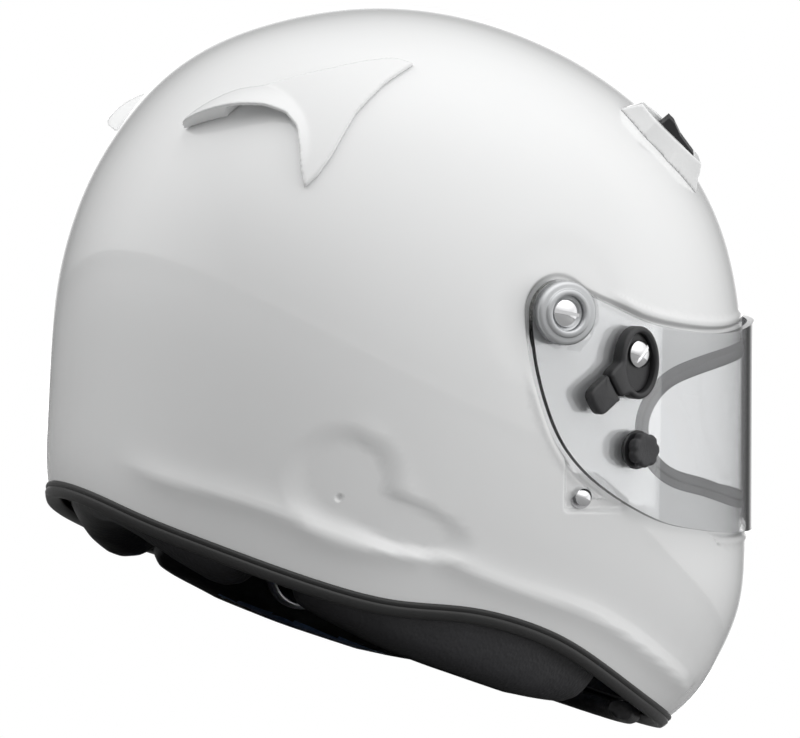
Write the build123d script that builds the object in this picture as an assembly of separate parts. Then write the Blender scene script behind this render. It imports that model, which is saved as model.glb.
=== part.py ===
from build123d import *
import math
import os

os.makedirs("parts", exist_ok=True)

# A full-face auto racing helmet, in millimetres. It stands on its cheek pads with the face
# tilted up. +Z is up, the face looks along -Y, and the wearer's left is +X.
# "Forward" is measured along -Y from the widest station of the shell.

# Shell: reach of each side from the widest station, and height of the crown
SHELL_FRONT = 198.0
SHELL_REAR = 144.0
SHELL_HALF_WIDTH = 125.5
SHELL_TOP = 273.2
SHELL_WALL = 3.5
STATION_Y = 27.0
CROWN_FORWARD = 13.0
CROWN_POWER = 8
FRONT_FULLNESS = 1.98
REAR_FULLNESS = 2.1
SECTION_STEPS = 28

# Height, front, rear and half-width of the shell's level sections, as shares of the four sizes
SECTION_SHARES = [
    (0.000, 0.862, 0.715, 0.800),
    (0.052, 0.915, 0.765, 0.842),
    (0.110, 0.966, 0.820, 0.886),
    (0.183, 0.994, 0.868, 0.933),
    (0.275, 0.998, 0.925, 0.973),
    (0.366, 0.958, 0.975, 0.996),
    (0.461, 0.902, 1.000, 1.000),
    (0.553, 0.846, 0.997, 0.985),
    (0.646, 0.796, 0.962, 0.948),
    (0.739, 0.734, 0.892, 0.880),
    (0.813, 0.668, 0.792, 0.790),
    (0.879, 0.582, 0.650, 0.666),
    (0.930, 0.485, 0.496, 0.528),
    (0.968, 0.370, 0.330, 0.375),
    (0.991, 0.245, 0.158, 0.220),
    (1.000, 0.095, -0.040, 0.036),
]

# Lower edge of the shell, seen from the side
RIM_RISE = 31.5
RIM_SHARES = [
    (-0.86, 0.84), (-0.585, 0.65), (-0.50, 0.52), (-0.407, 0.46), (-0.316, 0.435),
    (-0.157, 0.435), (-0.010, 0.53), (0.141, 0.76), (0.265, 0.85), (0.379, 0.84),
    (0.515, 0.72), (0.677, 0.555), (0.848, 0.45), (1.20, 0.42),
]
TRIM_ABOVE = 5.0
TRIM_BELOW = 2.2
TRIM_OUTSIDE = 1.8
TRIM_INSIDE = 1.6

# Frame of the worn helmet: its origin is on the visor's pivot axis
WORN_TILT = 21.0
PIVOT_FORWARD = 16.9
PIVOT_HEIGHT = 152.2

# Visor: an upright elliptical sheet, with a round wing on each pivot
VISOR_HALF_WIDTH = 125.6
VISOR_REACH = 160.4
VISOR_CENTRE_BACK = 16.6
VISOR_SHEET = 3.0
VISOR_FORWARD = 142.8
VISOR_DROP = 97.5
WING_RADIUS = 13.5
WING_ARC_END = 50.0
VISOR_TOP_SHARES = [
    (0.179, 0.023), (0.280, -0.036), (0.390, -0.076), (0.525, -0.103), (0.700, -0.113),
    (0.875, -0.087), (1.120, -0.040),
]
VISOR_FOOT_SHARES = [
    (1.120, -1.005), (0.680, -0.985), (0.525, -0.949), (0.390, -0.908), (0.266, -0.836),
    (0.147, -0.738), (0.074, -0.656), (0.000, -0.528), (-0.042, -0.400), (-0.082, -0.195),
]

# Recess of the shell under the visor
RECESS_BORDER = 2.2
OFFSET_STEPS = 8
VISOR_GAP = 2.3
WING_FLOOR_GAP = 1.5

# Eye port and its rubber gasket
PORT_SHARES = [
    (1.12, -0.205), (0.763, -0.246), (0.490, -0.302), (0.371, -0.374), (0.322, -0.500),
    (0.368, -0.626), (0.546, -0.728), (0.750, -0.810), (1.12, -0.850),
]
GASKET_BULB = 2.5
GASKET_LIP = 5.5
GASKET_PROUD = 1.9
GASKET_INSIDE = 1.6

# Visor pivot: bush, cover disc, screw and nut
BUSH_RADIUS = 6.0
BUSH_CLEARANCE = 0.05
DISC_RADIUS = 13.0
DISC_HEIGHT = 5.0
DISC_STEP_RADIUS = 9.8
DISC_STEP = 1.0
DISC_CLEARANCE = 0.3
DISC_WELL_RADIUS = 7.2
DISC_WELL = 3.4
PIVOT_SCREW_HEAD_RADIUS = 5.6
PIVOT_SCREW_EDGE = 1.2
PIVOT_SCREW_DOME = 1.4
PIVOT_SCREW_RADIUS = 2.5
SCREW_HOLE_CLEARANCE = 0.2
SCREW_SLOT_WIDTH = 1.3
SCREW_SLOT_DEPTH = 1.4
SCREW_SLOT_TURN = 10.0
NUT_RADIUS = 5.0
NUT_HEIGHT = 3.0
NUT_POCKET_CLEARANCE = 1.0

# Visor lock: ring and domed screw fixed on the visor, lever sliding between them
LOCK_FORWARD = 35.5
LOCK_DROP = 21.0
LOCK_TURN = -34.0
LOCK_HALF_HEIGHT = 15.0
LOCK_HALF_WIDTH = 10.6
LOCK_WALL = 2.8
LOCK_HEIGHT = 5.0
LOCK_CHAMBER_WALL = 1.2
LOCK_CHAMBER = 2.7
LOCK_ROOT = 16.8
LOCK_FIT = 0.35
LOCK_TRAVEL = 3.5
LOCK_EDGE = 1.0
LOCK_SUNK = 5.0
LEVER_PLATE = 1.5
LEVER_LIFT = 0.5
LEVER_NECK = 8.0
LEVER_END = 30.0
LEVER_WIDTH = 12.5
LEVER_HEIGHT = 4.4
LEVER_CORNER = 4.0
LEVER_GAP = 0.6
DOME_SCREW_BACK = -1.0
DOME_SCREW_UP = 3.5
DOME_SCREW_RADIUS = 5.6
DOME_SCREW_EDGE = 0.8
DOME_SCREW_DOME = 2.2
DOME_SCREW_STEM = 2.4
DOME_SCREW_SLOT_TURN = 135.0
DOME_SCREW_CLEARANCE = 0.4

# Tear-off post
POST_FORWARD = 36.8
POST_DROP = 56.8
POST_BASE_RADIUS = 8.0
POST_BASE = 1.6
POST_STEM_RADIUS = 4.5
POST_STEM = 1.2
POST_CAP_RADIUS = 7.4
POST_CAP = 4.6
POST_CAP_EDGE = 0.8
POST_NOTCH_RADIUS = 1.7
POST_NOTCHES = 7

# Stay stud below the wing, in a small triangular pocket
STUD_FORWARD = 12.5
STUD_DROP = 75.5
STUD_RADIUS = 3.6
STUD_NECK_RADIUS = 2.4
STUD_NECK = 1.6
STUD_EDGE = 1.0
STUD_DOME = 1.6
STUD_WASHER_RADIUS = 4.9
STUD_WASHER = 1.0
STUD_SEAT_DEPTH = 1.8
STUD_POCKET_DEPTH = 1.6
STUD_POCKET_CORNER = 3.0
STUD_POCKET_SHARES = [(0.030, -0.560), (0.045, -0.830), (0.250, -0.830)]

# Rear exhaust covers: a boomerang outline over a round bump, with an open lip below
EXHAUST_X = 80.5
EXHAUST_BACK = 97.3
EXHAUST_HEIGHT = 192.8
EXHAUST_SPAN = 60.0
EXHAUST_SKIN = 1.8
EXHAUST_BUMP_RADIUS = 49.5
EXHAUST_BUMP_DEPTH = 42.0
EXHAUST_WALL = 2.2
EXHAUST_MOUTH_RADIUS = 21.0
EXHAUST_PORT_RADIUS = 7.0
EXHAUST_SHARES = [
    (-0.877, -0.255), (-0.690, -0.178), (-0.480, -0.100), (-0.300, -0.052), (-0.140, -0.055),
    (-0.030, -0.125), (0.045, -0.250), (0.120, -0.410), (0.190, -0.515), (0.240, -0.390),
    (0.272, -0.240), (0.280, -0.060), (0.290, 0.140), (0.350, 0.450), (0.437, 0.735),
    (0.290, 0.718), (0.155, 0.615), (-0.055, 0.430), (-0.340, 0.215), (-0.580, 0.055),
    (-0.740, -0.105),
]
EXHAUST_BUMP_SHARES = (-0.290, -0.300)
EXHAUST_MOUTH_SHARES = (-0.230, -0.230)
EXHAUST_PORT_SHARES = (-0.185, 0.000)

# Forehead intake covers and their sliders
INTAKE_X = 63.0
INTAKE_FORWARD = 60.0
INTAKE_LENGTH = 60.0
INTAKE_WIDTH = 27.0
INTAKE_HEIGHT = 6.5
INTAKE_SUNK = 6.5
INTAKE_SHARES = [
    (-0.435, 0.13), (-0.20, 0.57), (0.10, 0.77), (0.47, 0.72), (0.42, 0.25), (0.20, -0.20),
    (-0.12, -0.30), (-0.36, -0.08),
]
INTAKE_TOP_SHARES = [
    (-0.27, 0.08), (-0.14, 0.28), (0.08, 0.38), (0.34, 0.42), (0.34, 0.16), (0.18, -0.04),
    (-0.10, -0.12), (-0.24, -0.06),
]
INTAKE_PORT_RADIUS = 2.2
SLIDER_PLACE_SHARES = (0.035, 0.145)
SLIDER_TURN = 12.0
SLIDER_SLOT_LENGTH = 29.0
SLIDER_SLOT_DEPTH = 2.6
SLIDER_WIDTH = 5.2
SLIDER_LENGTH = 20.0
SLIDER_RISE = 3.8
SLIDER_MIDDLE_RISE = 1.5
SLIDER_FIT = 0.35

# Chin vent: two slots in front of one foam filter
CHIN_VENT_SLOT = 34.0
CHIN_VENT_SLOT_HEIGHT = 5.0
CHIN_VENT_PITCH = 10.0
CHIN_VENT_HEIGHT = 62.0
CHIN_FILTER = 2.0
CHIN_FILTER_MARGIN = 4.0

# Head space and liners
HEAD_HALF_WIDTH = 78.0
HEAD_HALF_LENGTH = 97.5
HEAD_HALF_HEIGHT = 104.0
HEAD_CENTRE_BACK = 6.5
HEAD_CENTRE_DROP = 34.0
COMFORT_THICKNESS = 8.0
PIECE_FIT = 0.3
LINER_EDGE_SHARES = [
    (1.54, -0.113), (0.525, -0.154), (0.336, -0.267), (0.252, -0.451), (0.238, -0.533),
    (-0.238, -0.533), (-0.406, -0.779), (-1.40, -0.500), (-1.40, -3.60), (1.54, -3.60),
]
CHIN_LINER_THICKNESS = 18.0
CHIN_LINER_BACK = 78.0
CHIN_LINER_TOP = 97.0
CROWN_PAD_EDGE = 24.0
BROW_PAD_BACK = 44.0
PAD_SPLIT = 3.0

# Cheek pads: lofted through upright sections across the helmet.
# Each row is forward, foot, top and inner face, as shares of the four sizes
CHEEK_LENGTH = 110.0
CHEEK_TOP = 112.0
CHEEK_FOOT = 8.0
CHEEK_HALF_GAP = 62.0
CHEEK_SHARES = [
    (-0.345, 0.45, 0.430, 1.10, 0.70), (-0.300, 0.45, 0.430, 1.10, 1.00),
    (-0.110, 0.12, 0.505, 1.03, 1.00), (0.055, -0.07, 0.785, 1.00, 1.00),
    (0.340, -0.07, 0.895, 0.98, 1.00), (0.590, -0.07, 0.920, 0.97, 1.00),
    (0.820, 0.20, 0.785, 0.95, 1.00), (0.980, 0.80, 0.745, 0.96, 1.00),
    (1.030, 0.80, 0.745, 0.96, 0.70),
]
CHEEK_DRAW = 4.0
CHEEK_SHOULDER = 8.0
CHEEK_OUTER_SHARE = 0.68
PAD_CLEARANCE = 0.7

# Neck roll round the rear of the neck opening, and padded lip under the chin.
# Each roll row is a share of a full turn, then foot and top as shares of the rim's rise
ROLL_WIDTH = 38.0
ROLL_SHARES = [
    (0.350, 0.16, 1.49), (0.362, 0.12, 1.54), (0.410, 0.20, 1.54), (0.455, 0.38, 1.42),
    (0.500, 0.46, 1.34),
]
NECK_CENTRE_FORWARD = 22.0
ROLL_END_FILL = 0.7
ROLL_SEAT_SHARE = 0.25
ROLL_STEPS = 10
CHIN_LIP_WIDTH = 15.0
CHIN_LIP_HEIGHT = 12.2
CHIN_LIP_FOOT = 7.0
CHIN_LIP_TURN_SHARES = [0.085, 0.06, 0.03, 0.0]

# Chin strap, its steel anchors and the D-rings on the left strap
STRAP_WIDTH = 24.0
STRAP_THICKNESS = 2.0
STRAP_SLOT_CLEARANCE = 0.8
STRAP_FORWARD = 22.0
STRAP_WALL_HEIGHTS = [84.0, 68.0, 52.0]
STRAP_TURN_HEIGHT = 40.0
STRAP_INSIDE = 52.0
STRAP_END_HEIGHT = 14.0
STRAP_LOOP_HEIGHT = 29.0
ANCHOR_HEIGHT = 76.0
ANCHOR_PLATE_HEIGHT = 26.0
ANCHOR_PLATE = 1.6
ANCHOR_FIT = 0.1
RIVET_RADIUS = 3.2
RIVET_HEAD = 1.2
RIVET_SPREAD = 7.0
RING_WIRE_RADIUS = 1.5
RING_BORE_CLEARANCE = 0.3
RING_GAP = 0.5
RING_HALF_WIDTH = 15.5
RING_DROP = 19.0

# One overrun serves all cuts
OVERRUN = 40.0


def y_of(forward):
    return STATION_Y - forward


def worn_vector(forward, up):
    tilt = math.radians(WORN_TILT)
    along = forward * math.cos(tilt) - up * math.sin(tilt)
    high = forward * math.sin(tilt) + up * math.cos(tilt)
    return Vector(0, -along, high)


def worn_point(x, forward, up):
    return Vector(x, y_of(PIVOT_FORWARD), PIVOT_HEIGHT) + worn_vector(forward, up)


WORN_SIDE = Plane(origin=worn_point(0, 0, 0), x_dir=worn_vector(1, 0), z_dir=(-1, 0, 0))
WORN_LEVEL = Plane(origin=worn_point(0, 0, 0), x_dir=(1, 0, 0), z_dir=worn_vector(0, 1))
STAND_SIDE = Plane(origin=(0, y_of(0), 0), x_dir=(0, -1, 0), z_dir=(-1, 0, 0))


# Shell form

def section_point(shares, angle, inset):
    height_share, front_share, rear_share, width_share = shares
    side_scale = 1 - inset / SHELL_HALF_WIDTH
    centre = CROWN_FORWARD * height_share ** CROWN_POWER
    ahead = math.cos(angle) >= 0
    fullness = FRONT_FULLNESS if ahead else REAR_FULLNESS
    reach = front_share * SHELL_FRONT - centre if ahead else rear_share * SHELL_REAR + centre
    reach *= 1 - inset / (SHELL_FRONT if ahead else SHELL_REAR)
    along = math.copysign(abs(math.cos(angle)) ** (2 / fullness), math.cos(angle))
    across = math.copysign(abs(math.sin(angle)) ** (2 / fullness), math.sin(angle))
    x = width_share * SHELL_HALF_WIDTH * side_scale * across
    return Vector(x, y_of(centre + reach * along), height_share * (SHELL_TOP - inset))


def dome(inset=0.0):
    sections = []
    for shares in SECTION_SHARES:
        turn = 2 * math.pi / SECTION_STEPS
        points = [section_point(shares, step * turn, inset) for step in range(SECTION_STEPS)]
        sections.append(make_face(Spline(*points, periodic=True)))
    return loft(sections)


def rim_points(lift):
    return [(share * SHELL_FRONT, rise * RIM_RISE + lift) for share, rise in RIM_SHARES]


def below_rim(lift=0.0):
    points = rim_points(lift)
    first, last = points[0], points[-1]
    edge = Spline(*points)
    rest = Polyline(last, (last[0], -OVERRUN), (first[0] - OVERRUN, -OVERRUN),
                    (first[0] - OVERRUN, first[1]), first)
    profile = STAND_SIDE * make_face(edge + rest)
    return extrude(profile, SHELL_HALF_WIDTH + OVERRUN, both=True)


# Visor and recess outlines, in the worn side plane

def visor_points(shares):
    return [(along * VISOR_FORWARD, up * VISOR_DROP) for along, up in shares]


def visor_outline():
    end = math.radians(WING_ARC_END)
    shoulder = (WING_RADIUS * math.cos(end), WING_RADIUS * math.sin(end))
    top = Spline(shoulder, *visor_points(VISOR_TOP_SHARES),
                 tangents=[(math.sin(end), -math.cos(end)), (1, 0.2)])
    foot = Spline(*visor_points(VISOR_FOOT_SHARES), (-WING_RADIUS, 0),
                  tangents=[(-1, 0), (0, 1)])
    half_turn = math.radians((180 + WING_ARC_END) / 2)
    middle = (WING_RADIUS * math.cos(half_turn), WING_RADIUS * math.sin(half_turn))
    wing = ThreePointArc((-WING_RADIUS, 0), middle, shoulder)
    return make_face(top + Line(top @ 1, foot @ 0) + foot + wing)


def port_outline():
    edge = Spline(*visor_points(PORT_SHARES), tangents=[(-1, 0), (1, 0)])
    return make_face(edge + Line(edge @ 1, edge @ 0))


def grown(outline, grow):
    """The outline offset outwards, with its offset curves redrawn as splines."""
    edges = []
    for edge in offset(outline, grow).faces()[0].outer_wire().edges():
        if edge.geom_type in (GeomType.LINE, GeomType.CIRCLE):
            edges.append(edge)
        else:
            spots = [edge @ (step / OFFSET_STEPS) for step in range(OFFSET_STEPS + 1)]
            edges.append(Spline(*spots, tangents=[edge % 0, edge % 1]))
    return make_face(edges)


def side_prism(outline, grow=0.0):
    face = grown(outline, grow) if grow else outline
    return extrude(WORN_SIDE * face, SHELL_HALF_WIDTH + OVERRUN, both=True)


def visor_cylinder(inset):
    ellipse = Pos(0, VISOR_CENTRE_BACK) * Ellipse(VISOR_HALF_WIDTH - inset, VISOR_REACH - inset)
    return extrude(WORN_LEVEL * ellipse, SHELL_TOP, both=True)


def visor_side_x(forward, inset):
    share = (forward + VISOR_CENTRE_BACK) / (VISOR_REACH - inset)
    return (VISOR_HALF_WIDTH - inset) * math.sqrt(1 - share ** 2)


def mirrored(shape):
    return mirror(shape, about=Plane.YZ)


# Planes on the wearer's left: local X runs back, local Y up and local Z out

def side_plane(forward, up, out):
    return Plane(origin=worn_point(out, forward, up), x_dir=worn_vector(-1, 0), z_dir=(1, 0, 0))


def visor_plane(forward, up):
    x = visor_side_x(forward, 0)
    rise = (forward + VISOR_CENTRE_BACK) * VISOR_HALF_WIDTH ** 2
    turn = math.atan(rise / (x * VISOR_REACH ** 2))
    normal = Vector(math.cos(turn), 0, 0) + worn_vector(math.sin(turn), 0)
    back = Vector(math.sin(turn), 0, 0) - worn_vector(math.cos(turn), 0)
    return Plane(origin=worn_point(x, forward, up), x_dir=back, z_dir=normal)


def left_post(forward, up, radius, low, high):
    return extrude(side_plane(forward, up, low) * Circle(radius), high - low)


def domed_head(radius, edge, rise):
    """A screw head on the local XY plane, with a straight edge and a domed top."""
    sphere_radius = (radius ** 2 + rise ** 2) / (2 * rise)
    flank = math.asin(radius / sphere_radius) / 2
    middle = (sphere_radius * math.sin(flank),
              edge + rise - sphere_radius * (1 - math.cos(flank)))
    walls = Polyline((0, edge + rise), (0, 0), (radius, 0), (radius, edge))
    arc = ThreePointArc((radius, edge), middle, (0, edge + rise))
    return revolve(Plane.XZ * make_face(walls + arc), Axis.Z)


def slotted(head, radius, height, turn):
    cut = Box(2 * radius + OVERRUN, SCREW_SLOT_WIDTH, 2 * SCREW_SLOT_DEPTH)
    return head - Pos(0, 0, height) * Rot(0, 0, turn) * cut


WING_FLOOR = visor_side_x(0, VISOR_SHEET) - WING_FLOOR_GAP
WING_TOP = WING_FLOOR + WING_FLOOR_GAP + VISOR_SHEET


def shares_at(height):
    share = height / SHELL_TOP
    for low, high in zip(SECTION_SHARES, SECTION_SHARES[1:]):
        if share <= high[0]:
            part = (share - low[0]) / (high[0] - low[0])
            return [a + (b - a) * part for a, b in zip(low, high)]
    return SECTION_SHARES[-1]


def shell_half(forward, height):
    """Half-width of the shell at a place seen from the side, or zero outside it."""
    height_share, front_share, rear_share, width_share = shares_at(height)
    centre = CROWN_FORWARD * height_share ** CROWN_POWER
    ahead = forward >= centre
    fullness = FRONT_FULLNESS if ahead else REAR_FULLNESS
    reach = front_share * SHELL_FRONT - centre if ahead else rear_share * SHELL_REAR + centre
    share = min(abs(forward - centre) / reach, 1)
    return width_share * SHELL_HALF_WIDTH * (1 - share ** fullness) ** (1 / fullness)


def worn_side(forward, height):
    """Worn forward and up of a standing forward and height."""
    tilt = math.radians(WORN_TILT)
    ahead, above = forward - PIVOT_FORWARD, height - PIVOT_HEIGHT
    return (ahead * math.cos(tilt) + above * math.sin(tilt),
            above * math.cos(tilt) - ahead * math.sin(tilt))


def standing_side(forward, up):
    """Standing forward and height of a worn forward and up."""
    tilt = math.radians(WORN_TILT)
    return (PIVOT_FORWARD + forward * math.cos(tilt) - up * math.sin(tilt),
            PIVOT_HEIGHT + forward * math.sin(tilt) + up * math.cos(tilt))


def rim_height(forward):
    points = rim_points(0)
    for low, high in zip(points, points[1:]):
        if forward <= high[0]:
            part = (forward - low[0]) / (high[0] - low[0])
            return low[1] + (high[1] - low[1]) * part
    return points[-1][1]


# Shell, gasket and edge trim

def stud_seat_x():
    return shell_half(*standing_side(STUD_FORWARD, -STUD_DROP)) - STUD_SEAT_DEPTH


def shell_holes():
    """Holes of one side, for the pivot screw and the stay stud."""
    through = SHELL_HALF_WIDTH / 2
    beyond = SHELL_HALF_WIDTH + OVERRUN
    screw = left_post(0, 0, PIVOT_SCREW_RADIUS + SCREW_HOLE_CLEARANCE, through, beyond)
    well = left_post(0, 0, WING_RADIUS + RECESS_BORDER, WING_FLOOR, beyond)
    stud = left_post(STUD_FORWARD, -STUD_DROP, STUD_NECK_RADIUS, through, beyond)
    seat = left_post(STUD_FORWARD, -STUD_DROP, STUD_WASHER_RADIUS + PIECE_FIT, stud_seat_x(), beyond)
    return screw + well + stud + seat


def chin_vent_slots():
    slots = []
    for side in (-1, 1):
        height = CHIN_VENT_HEIGHT + side * CHIN_VENT_PITCH / 2
        plane = Plane(origin=(0, y_of(SHELL_FRONT / 2), height), x_dir=(1, 0, 0), z_dir=(0, -1, 0))
        slots.append(extrude(plane * SlotOverall(CHIN_VENT_SLOT, CHIN_VENT_SLOT_HEIGHT), SHELL_FRONT))
    return slots[0] + slots[1]


def hollow(inset=0.0):
    """Space inside the shell wall, kept clear of the wall by the inset."""
    depth = SHELL_WALL + inset
    step = side_prism(visor_outline(), RECESS_BORDER + depth)
    return dome(depth) - (step - visor_cylinder(VISOR_SHEET + VISOR_GAP + depth))


def stud_pocket():
    outline = offset(Polygon(*visor_points(STUD_POCKET_SHARES), align=None), STUD_POCKET_CORNER)
    reach = SHELL_HALF_WIDTH + OVERRUN
    return extrude(WORN_SIDE * outline, -reach) - dome(STUD_POCKET_DEPTH)


def make_shell(outer, vents):
    floor = visor_cylinder(VISOR_SHEET + VISOR_GAP)
    shell = outer - (side_prism(visor_outline(), RECESS_BORDER) - floor) - hollow()
    holes = shell_holes()
    pocket = stud_pocket()
    cuts = [holes, mirrored(holes), side_prism(port_outline(), GASKET_BULB), below_rim(),
            chin_vent_slots(), pocket, mirrored(pocket), *vents]
    for cut in cuts:
        shell -= cut
    return shell


def make_gasket(shell):
    outer = visor_cylinder(VISOR_SHEET + VISOR_GAP - GASKET_PROUD)
    inner = visor_cylinder(VISOR_SHEET + VISOR_GAP + SHELL_WALL + GASKET_INSIDE)
    lip = side_prism(port_outline(), GASKET_BULB + GASKET_LIP) - side_prism(port_outline())
    return (lip & outer) - inner - shell


def make_trim(shell):
    ring = dome(-TRIM_OUTSIDE) & below_rim(TRIM_ABOVE)
    return ring - dome(SHELL_WALL + TRIM_INSIDE) - below_rim(-TRIM_BELOW) - shell


def make_chin_filter():
    width = CHIN_VENT_SLOT + 2 * CHIN_FILTER_MARGIN
    height = CHIN_VENT_PITCH + CHIN_VENT_SLOT_HEIGHT + 2 * CHIN_FILTER_MARGIN
    plane = Plane(origin=(0, y_of(SHELL_FRONT / 2), CHIN_VENT_HEIGHT), x_dir=(1, 0, 0), z_dir=(0, -1, 0))
    block = extrude(plane * RectangleRounded(width, height, CHIN_FILTER_MARGIN), SHELL_FRONT)
    return (block & dome(SHELL_WALL + PIECE_FIT)) - dome(SHELL_WALL + PIECE_FIT + CHIN_FILTER)


# Visor, its pivots, lock and tear-off posts

def make_visor():
    sheet = visor_cylinder(0) - visor_cylinder(VISOR_SHEET)
    body = side_prism(visor_outline()) & sheet
    under = WING_TOP - VISOR_SHEET
    cut = left_post(0, 0, WING_RADIUS, under - OVERRUN, WING_TOP + OVERRUN)
    wing = left_post(0, 0, WING_RADIUS, under, WING_TOP)
    hole = left_post(0, 0, BUSH_RADIUS + BUSH_CLEARANCE, under - OVERRUN, WING_TOP + OVERRUN)
    for side in (lambda shape: shape, mirrored):
        body = body - side(cut) + side(wing) - side(hole)
    return body


def make_pivot():
    disc_foot = WING_TOP + DISC_CLEARANCE
    bush = left_post(0, 0, BUSH_RADIUS, WING_FLOOR, disc_foot)
    bush -= left_post(0, 0, PIVOT_SCREW_RADIUS + SCREW_HOLE_CLEARANCE, WING_FLOOR - OVERRUN, disc_foot + OVERRUN)
    disc_top = disc_foot + DISC_HEIGHT
    disc = left_post(0, 0, DISC_RADIUS, disc_foot, disc_top)
    disc = chamfer(disc.edges().group_by(Axis.X)[-1], DISC_STEP)
    disc += left_post(0, 0, DISC_STEP_RADIUS, disc_top - DISC_STEP, disc_top + DISC_STEP)
    well_floor = disc_top + DISC_STEP - DISC_WELL
    disc -= left_post(0, 0, DISC_WELL_RADIUS, well_floor, disc_top + OVERRUN)
    disc -= left_post(0, 0, PIVOT_SCREW_RADIUS + SCREW_HOLE_CLEARANCE, disc_foot - OVERRUN, disc_top + OVERRUN)
    head = domed_head(PIVOT_SCREW_HEAD_RADIUS, PIVOT_SCREW_EDGE, PIVOT_SCREW_DOME)
    head = slotted(head, PIVOT_SCREW_HEAD_RADIUS, PIVOT_SCREW_EDGE + PIVOT_SCREW_DOME, SCREW_SLOT_TURN)
    nut_top = visor_side_x(NUT_RADIUS, VISOR_SHEET + VISOR_GAP + SHELL_WALL) - BUSH_CLEARANCE
    screw_end = nut_top - NUT_HEIGHT
    shank = left_post(0, 0, PIVOT_SCREW_RADIUS, screw_end, well_floor)
    screw = side_plane(0, 0, well_floor) * head + shank
    nut = extrude(side_plane(0, 0, screw_end) * RegularPolygon(NUT_RADIUS, 6), NUT_HEIGHT)
    nut -= left_post(0, 0, PIVOT_SCREW_RADIUS, screw_end - OVERRUN, WING_FLOOR)
    return bush, disc, screw, nut


def lock_place():
    return visor_plane(LOCK_FORWARD, -LOCK_DROP)


def along_lever(start, end, width):
    """Rectangle along the lever's line, in the lock's plane."""
    return Rot(0, 0, LOCK_TURN) * Pos((start + end) / 2, 0) * Rectangle(end - start, width)


def lock_slide_vector():
    turn = math.radians(LOCK_TURN)
    place = lock_place()
    return place.x_dir * math.cos(turn) + place.y_dir * math.sin(turn)


def make_lock_ring(visor_core):
    place = lock_place()
    outline = Ellipse(LOCK_HALF_WIDTH, LOCK_HALF_HEIGHT) + along_lever(0, LOCK_ROOT, LEVER_WIDTH)
    ring = extrude(outline, LOCK_HEIGHT + LOCK_SUNK).moved(Pos(0, 0, -LOCK_SUNK))
    ring = chamfer(ring.edges().group_by(Axis.Z)[-1], LOCK_EDGE)
    eye = Ellipse(LOCK_HALF_WIDTH - LOCK_WALL, LOCK_HALF_HEIGHT - LOCK_WALL)
    ring -= extrude(eye, OVERRUN, both=True)
    chamber = Ellipse(LOCK_HALF_WIDTH - LOCK_CHAMBER_WALL, LOCK_HALF_HEIGHT - LOCK_CHAMBER_WALL)
    chamber += along_lever(0, LEVER_END, LEVER_NECK + 2 * LOCK_FIT)
    ring -= extrude(chamber, LOCK_CHAMBER + OVERRUN).moved(Pos(0, 0, -OVERRUN))
    return place * ring - visor_core


def make_lock_lever():
    start = LOCK_ROOT + LEVER_GAP
    half_travel = LOCK_TRAVEL / 2 + LOCK_FIT
    margin = LOCK_CHAMBER_WALL + half_travel + LOCK_FIT
    plate = Rot(0, 0, LOCK_TURN) * Pos(-half_travel, 0) * Rot(0, 0, -LOCK_TURN) * Ellipse(
        LOCK_HALF_WIDTH - margin, LOCK_HALF_HEIGHT - margin)
    plate += along_lever(0, start + LEVER_GAP, LEVER_NECK)
    slot = SlotCenterToCenter(2 * LOCK_TRAVEL, 2 * (DOME_SCREW_STEM + DOME_SCREW_CLEARANCE))
    plate -= Pos(DOME_SCREW_BACK, DOME_SCREW_UP) * Rot(0, 0, LOCK_TURN) * slot
    tab = Rot(0, 0, LOCK_TURN) * Pos((start + LEVER_END) / 2, 0) * RectangleRounded(
        LEVER_END - start, LEVER_WIDTH, LEVER_CORNER)
    tab += along_lever(start, start + LEVER_CORNER, LEVER_WIDTH)
    block = extrude(tab, LEVER_HEIGHT + LOCK_SUNK).moved(Pos(0, 0, -LOCK_SUNK))
    handle = lock_place() * block - visor_cylinder(-LEVER_LIFT)
    return handle + lock_place() * extrude(plate, LEVER_PLATE).moved(Pos(0, 0, LEVER_LIFT))


def make_dome_screw():
    foot = LEVER_LIFT + LEVER_PLATE + DOME_SCREW_CLEARANCE
    head = domed_head(DOME_SCREW_RADIUS, DOME_SCREW_EDGE, DOME_SCREW_DOME)
    head = slotted(head, DOME_SCREW_RADIUS, DOME_SCREW_EDGE + DOME_SCREW_DOME, DOME_SCREW_SLOT_TURN)
    screw = head.moved(Pos(0, 0, foot)) + extrude(Circle(DOME_SCREW_STEM), foot)
    return lock_place() * Pos(DOME_SCREW_BACK, DOME_SCREW_UP, 0) * screw


def make_post(visor_core):
    place = visor_plane(POST_FORWARD, -POST_DROP)
    base = extrude(Circle(POST_BASE_RADIUS), POST_BASE + LOCK_SUNK).moved(Pos(0, 0, -LOCK_SUNK))
    base += extrude(Circle(POST_STEM_RADIUS), POST_BASE + POST_STEM)
    base = place * base - visor_core
    lobes = Circle(POST_CAP_RADIUS) - PolarLocations(POST_CAP_RADIUS, POST_NOTCHES) * Circle(POST_NOTCH_RADIUS)
    cap = extrude(lobes, POST_CAP).moved(Pos(0, 0, POST_BASE + POST_STEM))
    cap = chamfer(cap.edges().group_by(Axis.Z)[-1], POST_CAP_EDGE)
    return base, place * cap


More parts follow.
